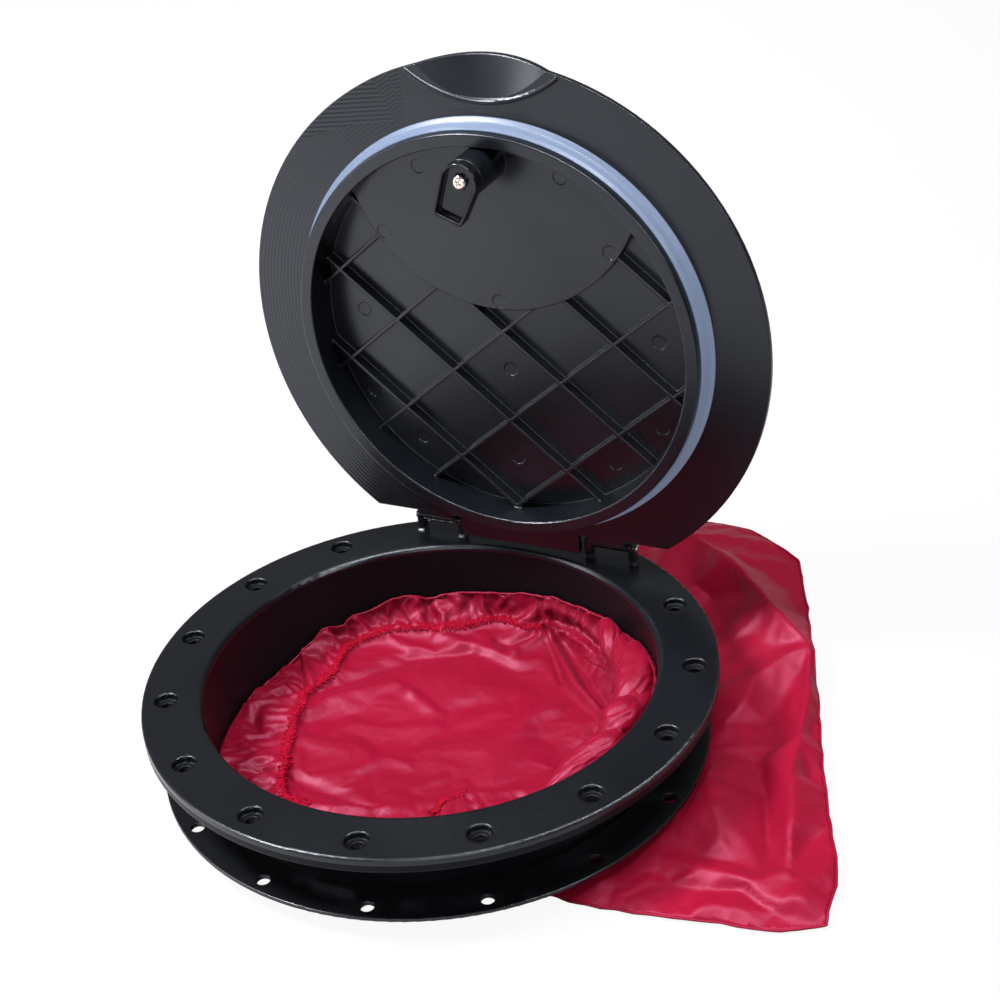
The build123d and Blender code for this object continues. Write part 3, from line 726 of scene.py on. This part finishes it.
def build_liner():
    step = 1.3
    angles = np.linspace(-180, 180, int(2 * math.pi * 112 / step), endpoint=False)
    edge = band_radius(angles) + hem_length(angles)
    turn = np.radians(angles)
    ring = np.stack([edge * np.cos(turn), edge * np.sin(turn)], 1)
    grid = hexes(-130, 130, -130, 130, step)
    angles = np.degrees(np.arctan2(grid[:, 1], grid[:, 0]))
    reach = band_radius(angles) + hem_length(angles)
    grid = grid[np.hypot(grid[:, 0], grid[:, 1]) < reach - step * 0.7]
    flat, faces, _ = triangulate(np.concatenate([ring, grid]), loop_edges(len(ring)))
    tris = np.array(faces)
    points, climb, angle, from_band = lay_liner(flat[:, 0], flat[:, 1])
    normals = vertex_normals(points, tris)

    relief = np.zeros(len(points))
    for width, height, line in STROKES:
        relief += STROKE_RELIEF * height * bell_along(points, line, width * STROKE_SPREAD)
    tucks = np.array([gather(a, s) for a, s in zip(angle, climb)])
    on_panel = np.clip(-climb * 6, 0, 1)
    low = np.array([
        noise.noise((p[0] * 0.018 + 0.5 * p[1] * 0.018, p[1] * 0.035, 0.4)) for p in points
    ])
    fine = np.array([
        noise.noise((p[0] * 0.06 + p[1] * 0.03, p[1] * 0.13 - p[0] * 0.02, 9.4))
        for p in points
    ])
    relief += tucks + on_panel * (1.3 * low + 0.35 * fine)
    relief += 0.9 * np.exp(-(from_band / 2.6) ** 2)
    points = points + normals * relief[:, None]
    # scalloped top edge
    points[:, 2] += np.clip((climb - 0.75) * 4, 0, 1) * np.array([hem_wave(a) for a in angle])
    points = keep_inside(relax(points, tris, rounds=1, weight=0.35))
    ob = new_mesh("bag_liner", to_frame(points), faces)
    pins = np.clip((climb - 0.90) * 10, 0, 1) + np.exp(-(from_band / 2.2) ** 2)
    settled = settle_cloth(ob, np.clip(pins, 0, 1), growth=0.010, frames=12, cap=0.0025)
    settled = to_frame(keep_inside(to_mm(settled)))
    ob.data.vertices.foreach_set("co", settled.astype(np.float32).ravel())
    ob.data.update()
    thickness = ob.modifiers.new("cloth thickness", "SOLIDIFY")
    thickness.thickness = 0.00035
    thickness.offset = -1
    dress(ob, NYLON_INSIDE_PAINTED_SHADE)
    return ob.data


liner_mesh = build_liner()
LINER_TREE = BVHTree.FromPolygons(
    [v.co.copy() for v in liner_mesh.vertices], [tuple(p.vertices) for p in liner_mesh.polygons]
)


def on_liner(point, lift):
    """nearest place on the liner, lifted along its normal (mm)"""
    hit, normal, *_ = LINER_TREE.find_nearest(Vector(to_frame(point)))
    if normal.z < 0:
        normal = -normal
    return to_mm(hit + normal * lift * 0.001)


# ---------------------------------------------------------------- hem of the liner

TUCK_ANGLES = (128, 262)
# (radius, height) outwards from the liner
TUCK_SECTION = [
    (97.6, -40.9), (99.5, -41.35), (101.5, -41.7), (102.8, -41.8), (103.6, -42.1),
    (103.9, -43.8),
]


def build_tuck():
    """where the hem sits low the cloth runs out under the end of the neck"""
    start, end = TUCK_ANGLES
    angles = np.linspace(start, end, 260)
    inner_r = TUCK_SECTION[0][0]
    upper = []
    for a in angles:
        t = math.radians(a)
        reach = min(1.0, 0.2 + (a - start) / 8, 0.2 + (end - a) / 12)
        for k, (r, z) in enumerate(TUCK_SECTION):
            wave = 0.5 * noise.noise((a * 0.35, k * 0.3, 0.7))
            wave += 0.35 * noise.noise((a * 0.9, k * 0.2, 3.3))
            r = inner_r + (r - inner_r) * reach
            upper.append((r * math.cos(t), r * math.sin(t), z + wave * (0.35 if k < 5 else 1.2)))
    upper = np.array(upper)
    lower = upper - np.array([0, 0, 0.3])
    lower[:, 2] = np.maximum(lower[:, 2], FLOOR_Z + 0.02)
    n = len(TUCK_SECTION)
    m = len(upper)
    last = len(angles) - 1
    faces = []
    for i in range(last):
        for k in range(n - 1):
            quad = (i * n + k, i * n + k + 1, (i + 1) * n + k + 1, (i + 1) * n + k)
            faces.append(quad)
            faces.append(tuple(v + m for v in quad[::-1]))
    for i in range(last):
        here, there = i * n, (i + 1) * n
        faces.append((here, there, there + m, here + m))
        here, there = here + n - 1, there + n - 1
        faces.append((there, here, here + m, there + m))
    for i in (0, last):
        for k in range(n - 1):
            quad = (i * n + k, i * n + k + m, i * n + k + 1 + m, i * n + k + 1)
            faces.append(quad if i == 0 else quad[::-1])
    return np.concatenate([upper, lower]), faces


def build_hem_roll():
    """cord in the hem: the gathered top edge is rolled round an elastic"""
    points, radii = [], []
    for a in np.linspace(-180, 180, 720, endpoint=False):
        t = math.radians(a)
        z = max(min(float(table_at(a, HEM_HEIGHT)) + hem_wave(a), -13.6), -43.0)
        r = 99.9 + 0.3 * noise.noise((a * 0.21, 0.3, 0.9))
        points.append((r * math.cos(t), r * math.sin(t), z - 0.5))
        radii.append(0.62 + 0.35 * noise.noise((a * 0.45, 4.0, 0.0)))
    return tube(points, radii, sides=10, closed=True)


bag_piece("bag_hem_tuck", build_tuck(), NYLON_INSIDE_PAINTED_SHADE)
bag_piece("bag_hem_roll", build_hem_roll(), NYLON_INSIDE_PAINTED_SHADE, replaces="bag_elastic",
          slot="elastic_cord")

# ---------------------------------------------------------------- stitching on the liner

STITCHED_ARCS = [(82.5, 180, 0), (-180, -116, 20)]  # (from, to in degrees, seed offset)
# band across the +X -Y part of the panel, (x, y, z)
FRONT_BAND = [(22.0, -50.2, -38.3), (22.3, -42.5, -38.5), (26.0, -37.0, -38.6), (29.0, -30.0, -39.8)]
FRONT_BAND_SEED = 40
# passes of overlock thread: (seed, half width, pitch, thread radius)
PASSES = [
    (1, 2.9, 1.7, 0.28), (2, 2.7, 1.3, 0.26), (3, 3.1, 2.0, 0.30), (4, 1.2, 1.1, 0.28),
    (5, 2.0, 1.4, 0.28), (6, 2.9, 1.2, 0.26), (7, 3.1, 2.4, 0.28), (8, 0.6, 0.9, 0.30),
    (9, 2.4, 1.0, 0.26),
]
# loose thread end, (x, y, z)
LOOSE_THREAD = [
    (13.9, 94.4, -38.2), (18.8, 93.9, -37.8), (26.0, 89.0, -39.3), (34.0, 84.0, -39.9),
    (42.0, 78.0, -40.3), (51.0, 74.0, -39.7), (54.0, 71.0, -39.9),
]


def zigzag_round_band(start, end, half, pitch, rnd):
    points = []
    a, side = start, 1
    while a < end:
        band = float(band_radius(a))
        r = band + side * half * rnd.uniform(0.55, 1.15) + rnd.uniform(-0.4, 0.4)
        t = math.radians(a)
        points.append((r * math.cos(t), r * math.sin(t), -38.0))
        a += pitch / band * DEG_PER_RAD * rnd.uniform(0.7, 1.3)
        side = -side
    return points


def zigzag_along(line, half, pitch, rnd):
    line = np.array(line, float)
    lengths = np.linalg.norm(np.diff(line, axis=0), axis=1)
    starts = np.concatenate([[0], np.cumsum(lengths)])
    points = []
    u, side = 0.0, 1
    while u < starts[-1]:
        i = min(len(lengths) - 1, int(np.searchsorted(starts, u, "right") - 1))
        run = line[i + 1] - line[i]
        place = line[i] + run * ((u - starts[i]) / lengths[i])
        run = run / lengths[i]
        across = np.array([-run[1], run[0], 0])
        points.append(place + across * side * half * rnd.uniform(0.55, 1.15))
        u += pitch * rnd.uniform(0.7, 1.3)
        side = -side
    return points


def seat_thread(points, radius, rnd):
    """thread over the liner, arching a little between its needle holes"""
    seated = [on_liner(p, 0.22 + 0.30 * rnd.random()) for p in points]
    fine = []
    for p, q in zip(seated[:-1], seated[1:]):
        for k in range(3):
            w = k / 3
            fine.append(p * (1 - w) + q * w + np.array([0, 0, 0.18 * math.sin(math.pi * w)]))
    fine.append(seated[-1])
    return tube(fine, radius, sides=5)


def build_stitching():
    parts = []
    for seed, half, pitch, radius in PASSES:
        for start, end, offset in STITCHED_ARCS:
            rnd = random.Random(seed + offset)
            points = zigzag_round_band(start, end, half, pitch, rnd)
            parts.append(seat_thread(points, radius, rnd))
        rnd = random.Random(seed + FRONT_BAND_SEED)
        points = zigzag_along(FRONT_BAND, half * 0.75, pitch, rnd)
        parts.append(seat_thread(points, radius, rnd))
    return join(parts)


def build_loose_thread():
    rnd = random.Random(9)
    points = []
    line = np.array(LOOSE_THREAD, float)
    for p, q in zip(line[:-1], line[1:]):
        for k in range(6):
            w = k / 6
            jitter = np.array([rnd.uniform(-0.8, 0.8), rnd.uniform(-0.8, 0.8), 0])
            points.append(on_liner(p * (1 - w) + q * w + jitter, 0.5 + 0.5 * rnd.random()))
    return tube(points, 0.2, sides=6)


bag_piece("bag_overlock_stitching", build_stitching(), THREAD)
bag_piece("bag_loose_thread", build_loose_thread(), THREAD)

# ---------------------------------------------------------------- rolled cloth at +X

# spare cloth twisted into a roll: lobes that tuck under one another round a core, each a
# line of (x, y, z, radius)
LOBES = [
    [(50.4, 82.4, -19, 3), (56.1, 74.2, -21, 5.5), (60.2, 67.4, -25, 5), (63.5, 61.2, -30, 2)],
    [(69.7, 69.8, -19, 2.5), (73.6, 63.0, -22, 8), (77.4, 52.2, -25, 10.2),
     (79.9, 41.2, -27, 9.6), (78.3, 33.2, -30, 6.5), (74.5, 29.7, -34, 2.5)],
    [(81.4, 34.1, -23, 3), (82.0, 26.1, -25, 8.2), (80.3, 19.5, -28, 8.8),
     (77.1, 15.0, -31, 6.4), (73.3, 13.5, -34.5, 2.5)],
    [(84.1, 13.6, -26, 2.5), (81.4, 6.1, -28, 7.2), (76.4, -0.4, -31, 7.6),
     (70.8, -10.1, -33.5, 6.4), (66.3, -17.6, -36, 4), (62.8, -23.6, -38.5, 2)],
]
CORE = [
    (53.2, 77.5, -21.0, 3), (60.2, 74.2, -23.0, 5.2), (67.2, 66.7, -25.0, 7.6),
    (73.4, 57.7, -26.0, 8.6), (78.5, 48.6, -27.0, 8.8), (81.7, 39.1, -28.0, 8.6),
    (81.8, 30.2, -29.0, 8.2), (81.0, 21.1, -30.0, 7.4), (79.4, 11.9, -31.0, 6.6),
    (75.8, 2.8, -32.5, 5.8), (70.9, -6.5, -34.0, 4.6), (66.9, -16.1, -36.0, 2.4),
]
LOBE_SIDES = 64


def build_lobe(line, seed):
    line = np.array(line, float)
    lengths = np.linalg.norm(np.diff(line[:, :3], axis=0), axis=1)
    starts = np.concatenate([[0], np.cumsum(lengths)])
    n = max(30, int(starts[-1] / (0.7)))
    u = np.linspace(0, starts[-1], n)
    path = np.stack([np.interp(u, starts, line[:, k]) for k in range(4)], 1)
    for _ in range(int(n * 0.25)):
        path[1:-1] = 0.5 * path[1:-1] + 0.25 * (path[:-2] + path[2:])
    path, radii = path[:, :3], path[:, 3]
    side, rise = sweep_axes(path)
    verts = np.zeros((n, LOBE_SIDES, 3))
    for i in range(n):
        w = u[i] / starts[-1]
        for k in range(LOBE_SIDES):
            t = 2 * math.pi * k / LOBE_SIDES
            x, y = math.cos(t + w * 1.3), math.sin(t + w * 1.3)
            crease = noise.noise((x * 1.9 + seed, y * 1.9, w * 1.4))
            small = noise.noise((x * 4.2 + seed, y * 4.2, w * 5.0))
            r = radii[i] * (1 + 0.13 * crease + 0.10 * (0.3 - abs(small) * 1.6))
            out = side[i] * math.cos(t) * r * 1.04
            verts[i, k] = path[i] + out + rise[i] * math.sin(t) * r * 0.86
    return keep_inside(verts.reshape(-1, 3)), sweep_faces(n, LOBE_SIDES)


rolled_fold = join([build_lobe(line, seed=3.7 * i) for i, line in enumerate(LOBES + [CORE])])
bag_piece("bag_rolled_fold", rolled_fold, NYLON_INSIDE_PAINTED_SHADE)

# ---------------------------------------------------------------- pouch beside the hatch

# Heights in these tables are above the floor.
# corners of the sewn edge, (x, y, height)
EDGE = [
    (82.1, -74.4, 1.0), (108.8, -74.6, 1.0), (129.3, -71.8, 1.2), (149.4, -68.7, 1.2),
    (165.4, -66.8, 1.2), (174.2, -65.9, 1.5), (181.1, -64.4, 1.5), (189.2, -60.1, 1.5),
    (197.5, -55.4, 1.5), (195.8, -42.4, 3.36), (193.6, -27.2, 4.6), (191.4, -19.8, 5.22),
    (185.6, -6.7, 5.22), (178.5, 12.0, 4.6), (171.5, 30.1, 5.22), (164.7, 49.0, 5.84),
    (158.2, 68.1, 7.08), (151.2, 87.1, 8.94), (147.8, 97.1, 12.66), (145.5, 104.4, 15.14),
    (140.9, 114.2, 13.9), (130.9, 142.5, 7.7), (123.7, 161.6, 5.84), (111.8, 191.7, 5.22),
    (102.3, 197.8, 6.46), (91.7, 202.7, 7.7), (80.8, 209.8, 7.08), (74.2, 209.9, 7.7),
    (64.7, 208.7, 8.94), (56.4, 207.3, 9.56),
]
# outline carried on behind the lid and back to the neck, (x, y, height)
HIDDEN_EDGE = [
    (52, 210.5, 5), (36, 209, 2.5), (20, 206, 2), (0, 201, 1.8), (-25, 196, 1.6),
    (-40, 186, 1.6), (-38, 150, 1.8), (-33, 112, 1.8),
]
# labelled points on top of the pouch, (x, y, height)
SURFACE = dict(
    A=(86.3, 156.4, 25.4), R1=(117.1, 126.5, 24.0), R1b=(132.0, 113.1, 21.9),
    R2=(142.7, 106.5, 17.7), AL=(59.5, 180.4, 18.4), C1=(70.6, 148.2, 10.7),
    C0=(37.7, 173.1, 8.6), C00=(48.8, 176.4, 12.8), D1=(86.5, 168.6, 17.7),
    D2=(92.8, 197.1, 10.0), E1=(111.7, 164.1, 7.9), E2=(126.2, 143.5, 7.9),
    N1=(82.1, 142.1, 7.2), N2=(100.6, 111.7, 7.2), N3=(115.4, 88.0, 7.9),
    M1=(97.5, 142.9, 15.6), M2=(114.6, 113.5, 13.5), M3=(126.1, 103.7, 12.1),
    F1=(133.9, 95.7, 16.3), F2=(125.8, 80.5, 14.2), F3=(125.0, 62.2, 12.1),
    F4=(121.4, 47.2, 8.6), F5=(117.9, 32.5, 5.1), G1=(142.4, 94.5, 12.1),
    G2=(139.3, 76.3, 6.5), G3=(135.6, 58.1, 5.1), G4=(147.2, 43.5, 5.1),
    J2=(136.1, 36.4, 7.2), J1=(123.0, 33.2, 5.8), H1=(151.6, 74.7, 14.9),
    H4=(157.1, 42.7, 14.2), H2=(161.9, 15.1, 14.2), H2b=(169.6, -11.5, 12.8),
    H3=(176.2, -36.2, 9.3), I1=(166.0, 24.8, 5.1), I2=(177.7, -11.7, 4.4),
    I0=(159.3, 52.0, 7.9), K0=(126.0, 8.2, 12.1), K1=(142.1, 27.6, 5.8),
    K2=(152.4, 8.2, 3.5), K3=(162.5, -18.4, 3), K4=(145.6, -29.8, 9.3),
    K5=(136.8, -13.8, 13.5), K6=(125.2, -11.4, 10.7), K7=(117.0, -16.6, 7.2),
    K8=(142.9, -0.7, 10.7), K9=(151.5, -21.5, 7.9), L0=(120.4, -40.5, 5.1),
    L1=(141.1, -44.4, 7.2), L2=(154.2, -45.5, 7.9), L3=(165.6, -46.3, 7.9),
    L4=(180.2, -41.1, 7.9), L5=(189.9, -30.5, 5.8), l1=(138.1, -36.2, 4.4),
    l2=(152.1, -36.4, 4.75), l3=(164.3, -37.2, 5.1), l4=(176.3, -35.2, 5.8),
    Q1=(139.0, -50.6, 6.5), Q2=(161.7, -48.5, 6.5), Q3=(185.3, -50.9, 8.6),
    Q4=(172.8, -50.5, 7.2), m0=(117.0, -48.2, 3), m1=(130.7, -51.3, 2.5),
    m2=(145.1, -52.7, 2.5), m3=(160.3, -48.7, 2.5), m4=(175.6, -56.3, 2.5),
    m5=(192.9, -56.2, 1.8), S1=(122.4, -64.8, 2.5), S2=(148.0, -64.4, 4.4),
    S3=(163.7, -61.4, 4.4), S4=(111.3, -58.5, 3),
)
EDGE_PEAK = EDGE[19]  # highest corner, labelled "peak" below
# fold lines that stay crisp, through labelled points
FOLDS = [
    "AL A", "A R1 R1b R2 peak", "A C1 N1 N2 N3", "L0 L1 L2 L3 L4 L5", "l1 l2 l3 l4",
    "m0 m1 m2 m3 m4 m5", "G4 K1 K2 K3", "R2 H1 H4 H2 H2b H3", "R2 F1 F2 F3 F4 F5",
    "G1 G2 G4 J2 J1", "K0 K5 K4",
]
# under the backing ring the cloth is pressed flat, (radius, height)
PRESSED_RINGS = [(106, 3.2), (121, 5.0)]
# low mounds on the hidden +Y side, (x, y, height)
MOUNDS = [(-10, 150, 6), (15, 165, 9), (-20, 175, 4), (20, 140, 6), (40, 140, 8), (10, 120, 4)]


def polar(radius, degrees, height):
    t = math.radians(degrees)
    return (radius * math.cos(t), radius * math.sin(t), height)


def wander_edge():
    """the sewn edge wanders a little between its corners"""
    points = []
    for i, (x, y, z) in enumerate(EDGE):
        points.append((x, y, z))
        if i + 1 == len(EDGE):
            break
        x2, y2, z2 = EDGE[i + 1]
        length = math.hypot(x2 - x, y2 - y)
        k = max(1, int(length / 6.5))
        for j in range(1, k):
            w = j / k
            off = 1.5 * noise.noise((i * 1.71 + w * 2.3 * k / 4, 0.3, 0.0)) - 0.15
            lift = 1.2 * abs(noise.noise((i * 2.13 + w * 1.9 * k / 4, 4.0, 0.0)))
            points.append((
                x + (x2 - x) * w - (y2 - y) / length * off,
                y + (y2 - y) * w + (x2 - x) / length * off,
                z + (z2 - z) * w + lift,
            ))
    return points


SEWN_EDGE = wander_edge()
OUTLINE = SEWN_EDGE + HIDDEN_EDGE + [polar(92, a, 2.0) for a in np.arange(100, -50, -7.5)]


def pouch_heights(points):
    """height of the faceted pouch at each (x, y), and how near each lies to a crisp fold"""
    controls = OUTLINE + list(SURFACE.values())
    for a in np.arange(95, -45, -9.0):
        for radius, height in PRESSED_RINGS:
            x, y, _ = polar(radius, a, height)
            if min((x - p[0]) ** 2 + (y - p[1]) ** 2 for p in controls) > 60:
                controls.append((x, y, height))
    controls += MOUNDS
    labels = {label: len(OUTLINE) + i for i, label in enumerate(SURFACE)}
    labels["peak"] = OUTLINE.index(EDGE_PEAK)
    folds = [[labels[label] for label in fold.split()] for fold in FOLDS]
    edges = loop_edges(len(OUTLINE))
    for fold in folds:
        edges += zip(fold[:-1], fold[1:])
    plan = np.array([c[:2] for c in controls], float)
    corners, tris, sources = triangulate([c[:2] for c in controls], edges)
    corner_heights = np.array([
        controls[source[0] if source else int(np.argmin(((corner - plan) ** 2).sum(1)))][2]
        for corner, source in zip(corners, sources)
    ])

    heights = np.full(len(points), np.nan)
    for tri in tris:
        a, b, c = corners[list(tri)]
        height_a, height_b, height_c = corner_heights[list(tri)]
        area = (b[1] - c[1]) * (a[0] - c[0]) + (c[0] - b[0]) * (a[1] - c[1])
        if abs(area) < 1e-9:
            continue
        dx, dy = points[:, 0] - c[0], points[:, 1] - c[1]
        part_a = ((b[1] - c[1]) * dx + (c[0] - b[0]) * dy) / area
        part_b = ((c[1] - a[1]) * dx + (a[0] - c[0]) * dy) / area
        part_c = 1 - part_a - part_b
        hit = (part_a >= -1e-6) & (part_b >= -1e-6) & (part_c >= -1e-6)
        blend = part_a * height_a + part_b * height_b + part_c * height_c
        heights[hit] = blend[hit]
    near = np.zeros(len(points))
    for fold in folds:
        near = np.maximum(near, bell_along(points, plan[fold], 2.2))
    return heights, near


def resample(loop, step):
    """closed loop of (x, y, height) in roughly even steps"""
    points = []
    for a, b in zip(loop, np.roll(loop, -1, 0)):
        k = max(1, int(round(np.linalg.norm(b[:2] - a[:2]) / step)))
        points += [a * (1 - j / k) + b * (j / k) for j in range(k)]
    return np.array(points)


def inside(loop, points):
    x, y = points[:, 0], points[:, 1]
    result = np.zeros(len(points), bool)
    for (x1, y1), (x2, y2) in zip(loop, np.roll(loop, -1, 0)):
        if y1 != y2:
            crossing = ((y1 > y) != (y2 > y)) & (x < (x2 - x1) * (y - y1) / (y2 - y1) + x1)
            result ^= crossing
    return result


def wrinkle(x, y):
    return (
        0.9 * noise.noise((x * 0.030 - y * 0.012, y * 0.016 + x * 0.004, 2.0))
        + 0.55 * (0.4 - 2 * abs(noise.noise((x * 0.050 - y * 0.018, y * 0.016, 5.0))))
        + 0.22 * (0.4 - 2 * abs(noise.noise((x * 0.11 + y * 0.04, y * 0.045 - x * 0.03, 8.0))))
    )


def limit_pouch(points):
    """stays under the neck, the backing ring and the deck flange, and on the floor"""
    r = np.hypot(points[:, 0], points[:, 1])
    top = np.where(r < 104.9, -41.9, np.where(r < 125.5, -37.4, np.where(r < 130.5, -8.5, 99.0)))
    points[:, 2] = np.minimum(points[:, 2], top)
    points[:, 2] = np.maximum(points[:, 2], FLOOR_Z + 0.7)
    return points


def shape_pouch():
    """upper layer of the pouch: points, triangles and 1 for each point on the outline"""
    step = 1.7
    rim = resample(np.array(OUTLINE), step)
    outline = rim[:, :2]
    grid = hexes(-50, 205, -95, 220, step)
    grid = grid[inside(outline, grid)]
    gap = (step * 0.6) ** 2
    grid = grid[[((outline - p) ** 2).sum(1).min() > gap for p in grid]]
    count = len(outline)
    flat, faces, sources = triangulate(np.concatenate([outline, grid]), loop_edges(count))
    tris = np.array(faces)
    heights, near = pouch_heights(flat)
    for i in np.where(~np.isfinite(heights))[0]:
        heights[i] = rim[int(np.argmin(((outline - flat[i]) ** 2).sum(1))), 2]
    points = np.column_stack([flat, FLOOR_Z + heights])
    on_edge = np.array([1.0 if source and source[0] < count else 0.0 for source in sources])
    hold = np.maximum(on_edge * 0.9, near * 0.75)
    relaxed = relax(points, tris, rounds=3, weight=0.5, hold=hold)
    points[:, 2] = relaxed[:, 2]
    wrinkles = np.array([wrinkle(p[0], p[1]) for p in points])
    calm = np.clip((points[:, 2] - FLOOR_Z) / 6.0, 0.15, 1.0)
    points[:, 2] += wrinkles * calm * (1 - on_edge) * (1 - 0.6 * near)
    return limit_pouch(points), tris, on_edge


def settle_pouch(upper, tris, on_edge):
    """creases the upper layer, holding its rim, its high folds and the part by the neck"""
    sheet = new_mesh("bag_pouch_top", to_frame(upper), tris)
    fold = np.clip((upper[:, 2] - FLOOR_Z - 17) / 10, 0, 1) * 0.8
    r = np.hypot(upper[:, 0], upper[:, 1])
    pins = np.clip(on_edge + fold + (r < 127) * 1.0, 0, 1)
    settled = settle_cloth(sheet, pins, growth=0.007, frames=10, cap=0.002)
    bpy.data.objects.remove(sheet)
    return limit_pouch(to_mm(settled))


def build_pouch():
    """the under layer lies on the floor and meets the upper one along the sewn outline"""
    upper, tris, on_edge = shape_pouch()
    upper = settle_pouch(upper, tris, on_edge)
    lower = upper.copy()
    lift = np.clip(upper[:, 2] - FLOOR_Z, 0, 20)
    toward = np.array([95.0, 60.0]) - upper[:, :2]  # inwards, to the middle of the pouch
    toward /= np.maximum(np.linalg.norm(toward, axis=1), 1e-9)[:, None]
    lower[:, :2] += toward * (0.4 + 0.35 * lift * on_edge)[:, None]
    lower[:, 2] = FLOOR_Z + 0.05
    n = len(upper)
    tris = tris.tolist()
    edges = [(tri[k], tri[(k + 1) % 3]) for tri in tris for k in range(3)]
    paired = set(edges)
    faces = tris + [tuple(i + n for i in tri[::-1]) for tri in tris]
    faces += [(b, a, a + n, b + n) for a, b in edges if (b, a) not in paired]
    return np.concatenate([upper, lower]), faces


def build_outline_seam():
    """raised seam along the sewn edge"""
    line = np.array([(x, y, FLOOR_Z + max(height, 1.0)) for x, y, height in SEWN_EDGE])
    lengths = np.linalg.norm(np.diff(line, axis=0), axis=1)
    starts = np.concatenate([[0], np.cumsum(lengths)])
    u = np.linspace(0, starts[-1], int(starts[-1] / 1.5))
    path = np.stack([np.interp(u, starts, line[:, k]) for k in range(3)], 1)
    return tube(path, [0.55 + 0.12 * noise.noise((q * 0.2, 0, 0)) for q in u], sides=8)


bag_piece("bag_pouch", build_pouch(), NYLON, replaces="storage_bag")
bag_piece("bag_outline_seam", build_outline_seam(), NYLON)

# ---------------------------------------------------------------- floor and world


def floor_material():
    """pale floor with painted shade: its colour darkens towards +X for the light it bounces, but it
    looks almost white to the camera
    """
    m = Material("pale_floor")
    # painted shade: the floor colour that lamps and bounced light see falls off towards +X
    across = m.mul(m.add(m.axes()["X"], 0.05), 1.3)
    side = m.ramp(m.add(across, 0.5), (0.0, 0.0), (1.0, 1.0))
    tone = m.mix(side, (0.46, 0.46, 0.47), (0.12, 0.12, 0.125))
    tone = m.mix(m.mul(m.noise(scale=3, detail=2), 0.06), tone, (0.6, 0.6, 0.6))
    lit = m.node("ShaderNodeBsdfDiffuse", Color=tone).outputs[0]
    white = m.node("ShaderNodeEmission", Color=(1, 1, 1), Strength=1.05).outputs[0]
    return m.finish(m.mix_shader(m.mul(m.camera_ray(), 0.88), lit, white))


def build_floor():
    corners = [(-6, -6, 0), (6, -6, 0), (6, 6, 0), (-6, 6, 0)]
    floor = new_mesh("floor", corners, [(0, 1, 2, 3)], smooth=False)
    floor.location.z = (FLOOR_Z + FLANGE_T) * 0.001 - 0.0002
    paint(floor, floor_material())


def build_world():
    """white to the camera, dim and cool as a light"""
    world = bpy.data.worlds.new("studio")
    scene.world = world
    w = Nodes(world, "ShaderNodeOutputWorld")
    seen = w.node("ShaderNodeBackground", Color=(1, 1, 1), Strength=1.0).outputs[0]
    lit = w.node("ShaderNodeBackground", Color=(0.95, 0.97, 1.0), Strength=0.18).outputs[0]
    w.finish(w.mix_shader(w.camera_ray(), lit, seen))


build_floor()
build_world()

# ---------------------------------------------------------------- lights and camera


def softbox(name, location, target, size, power, colour=(1, 1, 1), along=None):
    """area light aimed at target; along is the direction of its first side"""
    light = bpy.data.lights.new(name, "AREA")
    light.shape = "RECTANGLE"
    light.size, light.size_y = size
    light.energy = power
    light.color = colour
    ob = bpy.data.objects.new(name, light)
    scene.collection.objects.link(ob)
    ob.location = location
    aim = Vector(target) - Vector(location)
    if along is None:
        ob.rotation_euler = aim.to_track_quat("-Z", "Y").to_euler()
    else:
        z = -aim.normalized()
        x = Vector(along)
        x = (x - z * x.dot(z)).normalized()
        ob.rotation_euler = Matrix((x, z.cross(x), z)).transposed().to_euler()


softbox("overhead_strip", location=(0.28, 0.0, 1.42), target=(0, 0, 0), size=(1.1, 0.22),
        power=36, along=(0.91, 0.41, 0.0))
softbox("key_left", location=(-0.72, -0.41, 1.27), target=(0, 0, 0.05), size=(0.28, 0.36),
        power=54, colour=(1.0, 0.99, 0.98))
softbox("side_left", location=(-1.25, -0.75, 0.45), target=(0, 0, 0.12), size=(0.5, 0.7), power=8)
softbox("fill_right", location=(1.2, 0.0, 0.75), target=(0.12, 0, 0.0), size=(0.35, 0.5),
        power=6, colour=(0.97, 0.98, 1.0))
softbox("front_low", location=(0.45, -1.45, 0.60), target=(0, 0, 0.12), size=(1.0, 0.4), power=9)

CAMERA_PLACE = Vector((0.35672, -0.60549, 0.49843))
CAMERA_AXES = (  # right, up, backwards
    Vector((0.9068, 0.4117, -0.0867)),
    Vector((-0.1413, 0.4918, 0.8591)),
    Vector((0.3967, -0.7670, 0.5044)),
)


def build_camera():
    data = bpy.data.cameras.new("camera")
    data.lens = 69.0
    data.sensor_width = 36.0
    data.clip_start = 0.01
    camera = bpy.data.objects.new("camera", data)
    scene.collection.objects.link(camera)
    pose = Matrix(CAMERA_AXES).transposed().to_4x4()
    pose.translation = CAMERA_PLACE
    camera.matrix_world = pose
    scene.camera = camera


build_camera()
scene.view_settings.view_transform = "Standard"
scene.view_settings.look = "None"
scene.view_settings.exposure = 0.0
